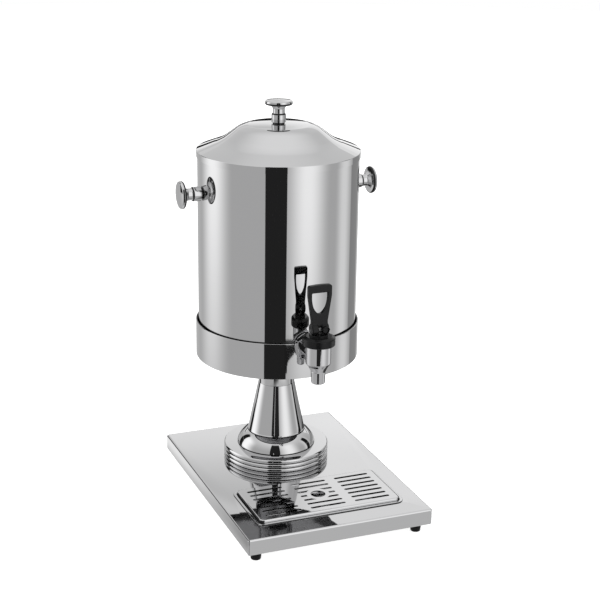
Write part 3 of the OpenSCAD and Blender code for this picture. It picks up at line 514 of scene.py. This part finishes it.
def piece(name, bm, body, slot, *nodes, sharp=SHARP_ANGLE, finish=None, shaded=None, dull="shaded_steel"):
    """Makes the mesh an object of its own that rides on a body and stands for CAD nodes.

    Faces that shaded picks, or that the shape has marked itself, get painted shade: the dark steel that dull names.
    """
    for face in bm.faces:
        if shaded and shaded(face.calc_center_median() / MM, face.normal):
            face.material_index = 1
    has_painted_shade = shaded or any(face.material_index for face in bm.faces)
    mesh = mesh_from(name, bm)
    mesh.shade_smooth()
    mesh.set_sharp_from_angle(angle=sharp)
    open_edges_sharp(mesh)
    mesh.materials.append(FINISHES[finish or slot])
    if has_painted_shade:
        mesh.materials.append(FINISHES[dull])
    obj = linked(name, mesh)
    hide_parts(*nodes)
    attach(obj, body)
    return obj


def flatten_normals(obj):
    """Keeps large flat faces flat to the eye where rounded edges meet them."""
    modifier = obj.modifiers.new("flat_faces", "WEIGHTED_NORMAL")
    modifier.keep_sharp = True
    modifier.weight = 100
    modifier.mode = "FACE_AREA"


def flat_piece(*args, sheet=None, **settings):
    """Piece with flat faces; an open mesh gets the thickness of its sheet on the inner side."""
    obj = piece(*args, **settings)
    if sheet:
        wall = obj.modifiers.new("sheet", "SOLIDIFY")
        wall.thickness = sheet * MM
        wall.offset = -1
    flatten_normals(obj)


def wire(bm, corners, arc_steps):
    """Open line through corners given as (radius, height, fillet), with the fillets rounded."""
    points = [Vector((r, 0, z)) for r, z, _ in corners]
    verts = [bm.verts.new(p * MM) for p in points]
    for pair in zip(verts, verts[1:]):
        bm.edges.new(pair)
    for i in range(1, len(corners) - 1):
        fillet = corners[i][2]
        if not fillet:
            continue
        before, after = (points[i - 1] - points[i]).normalized(), (points[i + 1] - points[i]).normalized()
        half = before.angle(after) / 2
        round_corners(bm, [verts[i]], fillet / math.tan(half), arc_steps)


def turned(corners, y=0.0, steps=TURN_STEPS, arc_steps=ARC_STEPS, closed=False):
    """Spins a line of corners a full turn about the upright axis at y; a closed line returns to its first corner."""
    bm = bmesh.new()
    wire(bm, [*corners, corners[0]] if closed else corners, arc_steps)
    bmesh.ops.spin(
        bm, geom=bm.verts[:] + bm.edges[:], cent=(0, 0, 0), axis=(0, 0, 1), dvec=(0, 0, 0),
        angle=math.tau, steps=steps, use_merge=True, use_duplicate=False)
    tidy(bm)
    move(bm, 0, y, 0)
    return bm


def bulge(p, q, rise):
    """Corner and fillet of an arc from p to q that bulges to the right of its way by the rise."""
    half = (Vector(q) - Vector(p)).length / 2
    radius = (half * half + rise * rise) / (2 * rise)
    lean = math.asin(half / radius)
    along = (Vector(q) - Vector(p)).normalized()
    outward = Vector((along.y, -along.x))
    apex = (Vector(p) + Vector(q)) / 2 + outward * half * math.tan(lean)
    return (apex.x, apex.y, radius * 0.999)


def round_corners(bm, verts, offset, steps=8):
    """Rounds corners from the given distance before each to the same distance after it."""
    bmesh.ops.bevel(
        bm, geom=verts, offset=offset * MM, offset_type="OFFSET", segments=steps, profile=0.5, affect="VERTICES",
        material=-1)


def round_edges(bm, edges, radius, steps=3):
    bmesh.ops.bevel(
        bm, geom=edges, offset=radius * MM, offset_type="OFFSET", segments=steps, profile=0.5, affect="EDGES",
        clamp_overlap=True, material=-1)


def rectangle(w, d, r, z, y=0.0, arc_steps=8):
    """Flat face with rounded corners, at height z and with its middle at y."""
    bm = bmesh.new()
    bmesh.ops.create_grid(bm, x_segments=1, y_segments=1, size=0.5)
    bmesh.ops.scale(bm, verts=bm.verts[:], vec=(w * MM, d * MM, 1))
    if r:
        round_corners(bm, bm.verts[:], r, arc_steps)
    move(bm, 0, y, z)
    return bm


def extruded(bm, faces, y=0.0, z=0.0):
    """Copies faces, moves the copies and joins them to the old ones with walls; returns what was moved."""
    out = bmesh.ops.extrude_face_region(bm, geom=faces)["geom"]
    bmesh.ops.translate(bm, verts=verts_in(out), vec=(0, y * MM, z * MM))
    return out


def prism(bm, height):
    """Closes a flat level face into a solid."""
    extruded(bm, bm.faces[:], z=height)
    bmesh.ops.recalc_face_normals(bm, faces=bm.faces[:])
    return bm


def flip_up(bm):
    """Turns an open sheet so that its largest face looks up."""
    largest = max(bm.faces, key=lambda f: f.calc_area())
    if largest.normal.z < 0:
        bmesh.ops.reverse_faces(bm, faces=bm.faces[:])


def bar(sides, r, length):
    """Round or sided bar along the upright axis, with its middle at the origin."""
    bm = bmesh.new()
    bmesh.ops.create_cone(bm, cap_ends=True, segments=sides, radius1=r * MM, radius2=r * MM, depth=length * MM)
    return bm


def along_y(bm, y, z):
    """Turns a shape about the origin so that its upper end points to the back, and moves it to y and z."""
    turn(bm, -math.pi / 2, "X")
    move(bm, 0, y, z)
    return bm


def merged(*parts):
    """Puts several meshes into one."""
    bm = bmesh.new()
    for part in parts:
        mesh = mesh_from("part", part)
        bm.from_mesh(mesh)
        bpy.data.meshes.remove(mesh)
    return bm


def result(obj, *tools):
    """Mesh of an object with its modifiers applied; the object and its tools are removed."""
    evaluated = obj.evaluated_get(bpy.context.evaluated_depsgraph_get())
    out = bmesh.new()
    out.from_mesh(evaluated.to_mesh())
    evaluated.to_mesh_clear()
    for used in (obj, *tools):
        mesh = used.data
        bpy.data.objects.remove(used)
        bpy.data.meshes.remove(mesh)
    return out


def cut(bm, cutter, operation="DIFFERENCE"):
    """Takes the cutter's shape away from the mesh, or adds it."""
    whole, tool = linked("whole", mesh_from("whole", bm)), linked("cutter", mesh_from("cutter", cutter))
    modifier = whole.modifiers.new("cut", "BOOLEAN")
    modifier.operation = operation
    modifier.solver = "EXACT"
    modifier.object = tool
    return result(whole, tool)


def remeshed(bm, grid, rounds):
    """Melts joined shapes into one skin with softly rounded edges."""
    skin = linked("skin", mesh_from("skin", bm))
    modifier = skin.modifiers.new("skin", "REMESH")
    modifier.mode = "VOXEL"
    modifier.voxel_size = grid * MM
    out = result(skin)
    for _ in range(rounds):
        bmesh.ops.smooth_vert(out, verts=out.verts[:], factor=0.5, use_axis_x=True, use_axis_y=True, use_axis_z=True)
    return out


def upright_plate(corners, depth, y):
    """Plate in the upright plane through the pin, from corners given as (x, z, fillet), with its front at y."""
    bm = bmesh.new()
    verts = [bm.verts.new((x * MM, 0, z * MM)) for x, z, _ in corners]
    for i, v in enumerate(verts):
        bm.edges.new((v, verts[(i + 1) % len(verts)]))
    for v, (_, _, fillet) in zip(verts, corners):
        if not fillet:
            continue
        before, after = [(e.other_vert(v).co - v.co).normalized() for e in v.link_edges]
        round_corners(bm, [v], fillet / math.tan(before.angle(after) / 2))
    bmesh.ops.contextual_create(bm, geom=bm.edges[:])
    extruded(bm, bm.faces[:], y=depth)
    move(bm, 0, y, 0)
    bmesh.ops.recalc_face_normals(bm, faces=bm.faces[:])
    return bm


# Pieces; turned pieces are given as corners (radius, height, fillet)


def out_from_axis(place):
    """Distance from the upright axis of the pedestal and the vessel."""
    return math.hypot(place.x, place.y - BODY_Y)


def build_collar():
    """Three rounded ribs; painted shade, a dark steel, darkens the narrow grooves between them."""
    core, depth, rib_h, low, groove, rise = 72.85, 0.9, 18.5 / 3, BASE_TOP, 0.5, 1.35
    corners = []
    for i in range(3):
        foot = (core, low + i * rib_h + groove)
        top = (core, low + (i + 1) * rib_h - (0 if i == 2 else groove))
        corners += [(core - depth, foot[1], 0), (*foot, 0), bulge(foot, top, rise), (*top, 0)]
        if i < 2:
            corners.append((core - depth, top[1], 0))
    corners += [(5.3, 55, 0), (5.3, 53.5, 0), (69.8, 53.5, 0), (69.8, low, 0), (core - depth, low, 0)]
    # Painted shade: the groove faces get the dark steel
    piece("pedestal_collar_spun", turned(corners, BODY_Y, arc_steps=10, closed=True),
          "stand", "polished_steel", "pedestal_collar",
          shaded=lambda place, normal: 71.8 < out_from_axis(place) < core - 0.01)


def build_dome():
    """Bulged dome that stands on a small recessed foot and has a recess under the cone."""
    foot, top = (55.2, 55.9), (40.9, 74.3)
    bm = turned([
        (53.7, 55, 0), (54.5, 55, 0), (54.5, 55.9, 0), (*foot, 0), bulge(foot, top, 0.12 * math.dist(foot, top)),
        (*top, 0), (38.9, 74.3, 0), (38.9, 75.5, 0), (26.4, 75.5, 0), (26.4, 74, 0), (37.9, 73.2, 0),
    ], BODY_Y, arc_steps=24, closed=True)
    # Painted shade: the dark steel darkens the recessed foot and the recess under the cone
    piece("pedestal_dome_spun", bm, "stand", "polished_steel", "pedestal_dome",
          shaded=lambda place, normal: (place.z < 55.95 and out_from_axis(place) > 53.9) or (
              place.z > 74.25 and out_from_axis(place) > 38.5))


def build_cone():
    """Cone with a rolled foot, and the neck tube above it."""
    bm = turned([(38.8, 75.5, 0), (40.6, 75.5, 0.3), (40.6, 76.3, 0.3), (39.9, 77.2, 0.3), (25.6, 147, 0),
                 (24.0, 147, 0)], BODY_Y, arc_steps=4, closed=True)
    flat_piece("pedestal_cone_spun", bm, "stand", "polished_steel", "pedestal_cone")
    bm = turned([(24.1, 147, 0), (25.6, 147, 0.4), (25.6, 200, 0), (24.1, 200, 0)], BODY_Y, closed=True)
    flat_piece("pedestal_neck_tube", bm, "stand", "polished_steel", "pedestal_neck")


def build_band():
    """Band with a round notch for the tap's flange."""
    inner, outer, low, top, notch_r = 111.4, 113.0, 191.6, 241.7, 18.3
    bm = turned([(inner, low, 0), (outer, low, 0.5), (outer, top, 0.5), (inner, top, 0)],
                BODY_Y, arc_steps=3, closed=True)
    notch = bar(96, notch_r, 60)
    turn(notch, math.pi / 2, "X")
    move(notch, 0, -60, SHANK_Z)
    # Painted shade: the band's inner face gets the lighter dark steel
    flat_piece("band_rolled", cut(bm, notch), "stand", "polished_steel", "band",
               shaded=lambda place, normal: out_from_axis(place) < (inner + outer) / 2, dull="painted_half_shade_steel")


def build_vessel():
    """Vessel with a rolled bead round its mouth."""
    r, low, top = VESSEL_R, VESSEL_LOW, VESSEL_TOP
    bm = turned([
        (0, low, 0), (r, low, 8), (r, top, 1.69), (r - 3.4, top, 1.69), (r - 3.4, top - 3.2, 1.5),
        (r - 1, top - 4.6, 0), (r - 1, low + 1, 7), (0, low + 1, 0),
    ], BODY_Y)
    # Painted shade: the vessel's underside gets the lighter dark steel
    flat_piece("vessel_spun", bm, "stand", "polished_steel", "vessel",
               shaded=lambda place, normal: normal.z < -0.9 and place.z < low + 0.5, dull="painted_half_shade_steel")


def build_lid():
    """Bell-shaped lid with a turned-down lip."""
    r, low, rise, lip, wall = 110.7, 480.1, 35.1, 8.8, 0.9
    bm = turned([
        (r, low - lip, 0), (r, low, 0.7), (r * 0.714, low + 0.346 * rise, r * 0.5),
        (r * 0.452, low + 0.954 * rise, r * 0.28), (r * 0.235, low + 0.998 * rise, r * 3.6), (0, low + rise, 0),
    ], BODY_Y, arc_steps=40)
    bmesh.ops.recalc_face_normals(bm, faces=bm.faces[:])
    flat_piece("lid_spun", bm, "lid", "polished_steel", "lid", sheet=wall)


def knob():
    """Turned knob that stands on the origin, with rings of painted shade at its foot, above its barrel and under its
    rim.
    """
    h, r, barrel, foot, waist = 31.8, 18.75, 9.8, 0.82, 8.1
    bm = turned([
        (0, 0, 0),
        (barrel * foot, 0, 0.15),
        (barrel * foot, h * 0.045, 0.1),
        (barrel, h * 0.06, h * 0.01),
        (barrel, h * 0.37, h * 0.03),
        (waist, h * 0.45, h * 0.05),
        (waist, h * 0.63, h * 0.08),
        (r * 0.62, h * 0.79, h * 0.08),
        (r * 0.97, h * 0.79, h * 0.05),
        (r, h * 0.87, h * 0.06),
        (r * 0.96, h * 0.96, h * 0.04),
        (0, h, 0),
    ], steps=SMALL_TURN_STEPS, arc_steps=8)
    # Painted shade: faces under the rim, above the barrel and at the foot get the dark steel
    for face in bm.faces:
        place = face.calc_center_median() / MM
        out = math.hypot(place.x, place.y)
        under_rim = out > r * 0.91 and place.z < h * 0.875
        above_barrel = out > waist and h * 0.385 < place.z < h * 0.43
        if under_rim or above_barrel or place.z < h * 0.03:
            face.material_index = 1
    return bm


def build_knobs():
    """Knob on the lid and one on each side of the vessel."""
    lid_top, side_z = 515.2, 427.5
    bm = knob()
    move(bm, 0, BODY_Y, lid_top)
    piece("lid_knob_turned", bm, "lid", "knob_steel", "lid_knob")
    for side, name in ((-1, "left"), (1, "right")):
        bm = knob()
        turn(bm, side * math.pi / 2, "Y")
        move(bm, side * VESSEL_R, BODY_Y, side_z)
        piece(name + "_knob_turned", bm, "stand", "knob_steel", name + "_knob")


def build_base():
    """One folded sheet: the skirts bend down from the top, meet at open corners, and bend in to flanges."""
    bend, sheet, flange, droop = 2.4, 1.2, 24.0, 0.7
    border, pan_gap, opening_corner, skirt_gap, side_gap = 30, 0.6, 9.1, 1.9, 0.5
    half = (BASE_W / 2, BASE_D / 2)
    bm = rectangle(BASE_W - 2 * bend, BASE_D - 2 * bend, 0, BASE_TOP)
    bmesh.ops.inset_region(bm, faces=bm.faces[:], thickness=border * MM, use_even_offset=True, use_boundary=True)
    inner = min(bm.faces, key=lambda f: max(abs(v.co.x) for v in f.verts) + max(abs(v.co.y) for v in f.verts))
    corners = list(inner.verts)
    for v in corners:
        v.co.x = math.copysign((PAN_W / 2 + pan_gap) * MM, v.co.x)
        v.co.y = (TRAY_Y + math.copysign(PAN_D / 2 + pan_gap, v.co.y)) * MM
    bmesh.ops.delete(bm, geom=[inner], context="FACES_ONLY")
    round_corners(bm, corners, opening_corner)
    for v in bm.verts:
        if v.co.y < -(half[1] - bend) * MM + WELD:
            v.co.z -= droop * MM
    outline = [(half[0] - bend) * MM, (half[1] - bend) * MM]
    rim = [e for e in bm.edges if any(
        all(abs(abs(v.co[i]) - outline[i]) < WELD for v in e.verts) for i in (0, 1))]
    for edge in rim:
        middle = (edge.verts[0].co + edge.verts[1].co) / 2
        side = 0 if abs(middle.x) > 1e-4 else 1
        out = Vector((0, 0, 0))
        out[side] = math.copysign(1, middle[side])
        axis = out.cross(Vector((0, 0, -1)))
        last = bmesh.ops.spin(
            bm, geom=[edge, *edge.verts], cent=middle + Vector((0, 0, -bend * MM)), axis=axis, dvec=(0, 0, 0),
            angle=math.pi / 2, steps=6)["geom_last"]
        end = half[1 - side] - (skirt_gap if side == 1 else sheet + side_gap)
        for v in verts_in(last):
            v.co[1 - side] = math.copysign(end * MM, v.co[1 - side])
        last = bmesh.ops.extrude_edge_only(bm, edges=edges_in(last))["geom"]
        verts = verts_in(last)
        for v in verts:
            v.co.z = (BASE_LOW + bend) * MM
        middle = sum((v.co for v in verts), Vector()) / 2
        last = bmesh.ops.spin(
            bm, geom=verts + edges_in(last), cent=middle - out * bend * MM, axis=axis, dvec=(0, 0, 0),
            angle=math.pi / 2, steps=4)["geom_last"]
        last = bmesh.ops.extrude_edge_only(bm, edges=edges_in(last))["geom"]
        for v in verts_in(last):
            v.co -= out * (flange - bend) * MM
            v.co[1 - side] -= math.copysign(flange * MM, v.co[1 - side])
    tidy(bm)
    # Painted reflection: faces of the right-hand bend get the dark steel, a dark line where the bend turns away
    flat_piece("base_folded", bm, "stand", "polished_steel", "base_plate", sheet=sheet,
               shaded=lambda place, normal: place.x > half[0] - bend and place.z > 34 and normal.x > 0.25)


def build_tray():
    """Flat rim with a turned-down edge, and a pan in its middle."""
    rim_top, floor_z, sheet, rim_w, edge_drops = 37.6, 27.0, 0.8, 3.5, (0.80, 0.25)
    pan_bend, bend, near = 1.8, 0.7, 0.1
    straight = (TRAY_W / 2 - TRAY_CORNER, TRAY_D / 2 - TRAY_CORNER)

    def bends():
        """Edges between the level rim and a wall."""
        return [e for e in bm.edges if e.is_manifold and all(abs(v.co.z - rim_top * MM) < WELD for v in e.verts)
                and any(abs(f.normal.z) < 0.1 for f in e.link_faces)]

    def at_edge(place):
        x, y = abs(place.x) / MM, abs(place.y / MM - TRAY_Y)
        return x > TRAY_W / 2 - near or y > TRAY_D / 2 - near or (
            math.hypot(x - straight[0], y - straight[1]) > TRAY_CORNER - near)

    # Painted shade: the pan's walls and the turned-down outer edge of the rim get the dark steel
    def out_of_light(place, normal):
        wall = abs(normal.z) < 0.6 and 28.5 < place.z < 36.7
        over_pan = abs(place.x) < 102.5 and abs(place.y - TRAY_Y) < 51.2
        return wall or (abs(normal.z) < 0.93 and 36.0 < place.z < 37.58 and not over_pan)

    bm = rectangle(TRAY_W, TRAY_D, TRAY_CORNER, rim_top, TRAY_Y)
    bmesh.ops.inset_region(
        bm, faces=bm.faces[:], thickness=(rim_w + sheet) * MM, use_even_offset=True, use_boundary=True)
    inner = max(bm.faces, key=lambda f: len(f.verts))
    moved = [f for f in extruded(bm, [inner], z=floor_z - rim_top) if isinstance(f, bmesh.types.BMFace)]
    if inner.is_valid:
        bmesh.ops.delete(bm, geom=[inner], context="FACES_ONLY")
    round_edges(bm, [e for f in moved for e in f.edges], pan_bend, 4)
    round_edges(bm, bends(), bend)
    edge = [e for e in bm.edges if e.is_boundary]
    for drop in edge_drops:
        out = bmesh.ops.extrude_edge_only(bm, edges=edge)["geom"]
        edge = [e for e in edges_in(out) if e.is_boundary]
        verts = {v for e in edge for v in e.verts}
        bmesh.ops.translate(bm, verts=list(verts), vec=(0, 0, -drop * MM))
    tidy(bm)
    flip_up(bm)
    round_edges(bm, [e for e in bends() if all(at_edge(v.co) for v in e.verts)], bend)
    flat_piece("drip_tray_pressed", bm, "tray", "polished_steel", "drip_tray", sheet=sheet, finish="pressed_steel",
               shaded=out_of_light)


def slots(column_x):
    """Tools for one column of the grate's slots."""
    length, width, corner, pitch, rows = 50, 4.5, 2.248, 12, range(-3, 4)
    parts = []
    for row in rows:
        bm = rectangle(length, width, corner, 36, TRAY_Y + row * pitch, 6)
        move(bm, column_x, 0, 0)
        parts.append(prism(bm, 10))
    return merged(*parts)


def round_tool(r, steps=TINY_TURN_STEPS):
    """Tool for a round hole in the middle of the grate."""
    bm = bar(steps, r, 20)
    move(bm, 0, TRAY_Y, 40)
    return bm


def build_grate():
    """Sheet with three columns of slots and a round hole, on a skirt with rounded edges."""
    w, d, corner, top, low, sheet, bend, burr = 200, 97, 7, 41.5, 27.3, 1.0, 2.0, 0.3
    column_pitch, hole_r, ring_r = 63.5, 10, 16
    bm = rectangle(w, d, corner, top, TRAY_Y)
    extruded(bm, bm.faces[:], z=low - top)
    underside = [f for f in bm.faces if abs(f.calc_center_median().z - low * MM) < WELD]
    bmesh.ops.delete(bm, geom=underside, context="FACES_ONLY")
    tidy(bm)
    flip_up(bm)
    round_edges(bm, [e for e in bm.edges if all(abs(v.co.z - top * MM) < WELD for v in e.verts)], bend, 5)
    bmesh.ops.solidify(bm, geom=bm.faces[:], thickness=sheet * MM)
    bmesh.ops.recalc_face_normals(bm, faces=bm.faces[:])
    middle = cut(slots(0), round_tool(ring_r, 96))
    bm = cut(bm, merged(slots(-column_pitch), slots(column_pitch), middle, round_tool(hole_r)))
    edges = [e for e in bm.edges if len(e.link_faces) == 2 and all(abs(v.co.z - top * MM) < 2 * WELD for v in e.verts)
             and any(abs(f.normal.z) < 0.1 for f in e.link_faces)]
    round_edges(bm, edges, burr, 2)
    # Painted shade on the end walls and the back edge, and a painted dark reflection along the right-hand rounded edge
    flat_piece("drip_grate_pressed", bm, "grate", "polished_steel", "drip_grate", finish="pressed_steel",
               shaded=lambda place, normal: (abs(place.x) > 93 and place.z < 40.4 and abs(normal.x) > 0.3) or (
                   place.x > 97.5 and normal.x > 0.08) or (
                   place.z > 39 and normal.y > 0.3 and place.y > TRAY_Y + 46))


def build_tap():
    """Body with its funnel, neck, hexagon and shank; the bonnet has a hidden recess that gives the spring room."""
    hexagon_w, hexagon_t, neck_l, shank_l = 35, 9, 26, 20.6
    barrel = turned([
        (5.5, 228, 0), (5.5, 199, 0.4), (9.1, 199, 1.6), (9.9, 216, 5), (13.3, 222.9, 5), (17.1, 227.6, 3),
        (17.1, 252.5, 0.2), (16.4, 252.5, 0), (16.4, 263.45, 0), (12.5, 263.45, 0), (12.5, 228, 0),
    ], TAP_Y, steps=SMALL_TURN_STEPS, arc_steps=10, closed=True)
    neck = along_y(bar(SMALL_TURN_STEPS, 12, neck_l), FLANGE_Y - neck_l / 2, SHANK_Z)
    hexagon = along_y(bar(6, hexagon_w / 2 / math.cos(math.pi / 6), hexagon_t), FLANGE_Y - hexagon_t / 2, SHANK_Z)
    shank = along_y(bar(TINY_TURN_STEPS, 10, shank_l), FLANGE_Y + shank_l / 2, SHANK_Z)
    round_edges(hexagon, hexagon.edges[:], 0.5, 2)
    flat_piece("tap_body_cast", merged(barrel, neck, hexagon, shank), "stand", "tap_chrome", "tap_body")
    bonnet = turned([
        (3.1, 267.7, 0), (3.1, 264, 0), (6.2, 264, 0), (6.2, 261, 0), (16.45, 261, 0), (16.45, 252.5, 0),
        (21.75, 252.5, 1.6), (21.75, 262.5, 1.6), (16.95, 265, 1.6), (12.5, 265, 0.5), (12.5, 267.7, 0.5),
    ], TAP_Y, steps=SMALL_TURN_STEPS, arc_steps=8, closed=True)
    flat_piece("tap_bonnet_moulded", bonnet, "stand", "black_plastic", "tap_bonnet")


def build_flange():
    """Round flange of the tap on the vessel's wall."""
    bm = turned([(10.05, 0, 0), (18, 0, 0.8), (18, 3, 0.8), (10.05, 3, 0)],
                steps=SMALL_TURN_STEPS, arc_steps=4, closed=True)
    flat_piece("tap_flange_turned", along_y(bm, FLANGE_Y, SHANK_Z), "stand", "tap_chrome", "tap_flange")


def build_handle():
    """Moulded handle: a loop with a shield-shaped window on two round ears, with a recess in the right ear."""
    ear_x, recess_r, recess_y, hood_x, hood_y, pin_r = 7.3, 4.2, -5.0, 6.5, -3.2, 1.55
    bm = upright_plate([
        (-16.3, 60.2, 3), (0, 61.2, 90), (16.3, 60.2, 3), (16.3, 46.4, 16), (13.0, 24.4, 16), (11.1, 12.2, 0),
        (11.4, 2, 2), (-11.4, 2, 2), (-11.1, 12.2, 0), (-13.0, 24.4, 16), (-16.3, 46.4, 16)], 6, -3)
    bm = cut(bm, upright_plate([
        (-11.4, 50.5, 1), (11.4, 50.5, 1), (11.6, 40, 40), (8.2, 27.5, 18), (0, 20.2, 4.5), (-8.2, 27.5, 18),
        (-11.6, 40, 40)], 12, -6))
    for x in (-ear_x, ear_x):
        for y, z, r in ((-3.2, 0, 5.4), (0, 1.8, 7.0)):
            lobe = turned([(0, -4.9, 0), (r, -4.9, 2.2), (r, 4.9, 2.2), (0, 4.9, 0)],
                          steps=TINY_TURN_STEPS, arc_steps=6)
            turn(lobe, math.pi / 2, "Y")
            move(lobe, x, y, z)
            bm = cut(bm, lobe, "UNION")
    hood = turned([(3.6, 0, 0), (5.7, 0, 0), (5.7, 6.2, 0.9), (4.0, 6.2, 0.5)], steps=TINY_TURN_STEPS, closed=True)
    turn(hood, math.pi / 2, "X")
    move(hood, hood_x, hood_y, 0)
    below = upright_plate([(-14, 0.4, 0), (14, 0.4, 0), (14, -9, 0), (-14, -9, 0)], 20, -20)
    bm = cut(bm, cut(hood, below), "UNION")
    for top, depth, y in ((4.4, 14.4, -4.4), (1.6, 20, -10)):
        bm = cut(bm, upright_plate([(-2.6, top, 1.5), (2.6, top, 1.5), (2.6, -9, 0), (-2.6, -9, 0)], depth, y))
    recess = turned([(0, 0, 0), (recess_r, 0, 0), (recess_r, 6, 0), (0, 6, 0)], steps=TINY_TURN_STEPS)
    turn(recess, math.pi / 2, "X")
    move(recess, ear_x, recess_y, 0)
    bm = cut(bm, recess)
    bore = turned([(0, -14, 0), (pin_r, -14, 0), (pin_r, 14, 0), (0, 14, 0)], steps=32)
    turn(bore, math.pi / 2, "Y")
    bm = cut(remeshed(bm, 0.32, 3), bore)
    move(bm, 0, TAP_Y, PIN_Z)
    piece("tap_handle_moulded", bm, "handle", "black_plastic", "tap_handle", sharp=math.radians(50))


def build_feet():
    """Four rubber feet, each with a round recess in its underside."""
    foot_x, foot_y = 113.7, 161.7
    for side, x in (("left", -foot_x), ("right", foot_x)):
        for end, y in (("front", -foot_y), ("rear", foot_y)):
            bm = turned([(2.05, 5, 0), (4.2, 5, 0), (4.2, 0, 0.4), (6.6, 0, 1.2), (7.2, 6, 8), (7.2, BASE_LOW, 0.3),
                         (2.05, BASE_LOW, 0)], steps=TINY_TURN_STEPS, arc_steps=4, closed=True)
            move(bm, x, y, 0)
            piece(f"foot_{end}_{side}_moulded", bm, "stand", "black_rubber", f"foot_{end}_{side}")


POLISH = polish_group()
FINISHES = finishes()
PANEL = panel_group()

camera()
studio()
floor()
card()
lamp()

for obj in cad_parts.values():
    for held in obj.material_slots:
        name = held.material.name.split(".")[0] if held.material else ""
        # painted shade: the stem gets the lighter dark steel, so its lug shows dark in the handle's slot
        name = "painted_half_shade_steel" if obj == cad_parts["tap_stem"] else name
        held.material = FINISHES.get(name, FINISHES["fastener_steel"])

build_collar()
build_dome()
build_cone()
build_band()
build_vessel()
build_lid()
build_knobs()
build_base()
build_tray()
build_grate()
build_tap()
build_flange()
build_handle()
build_feet()
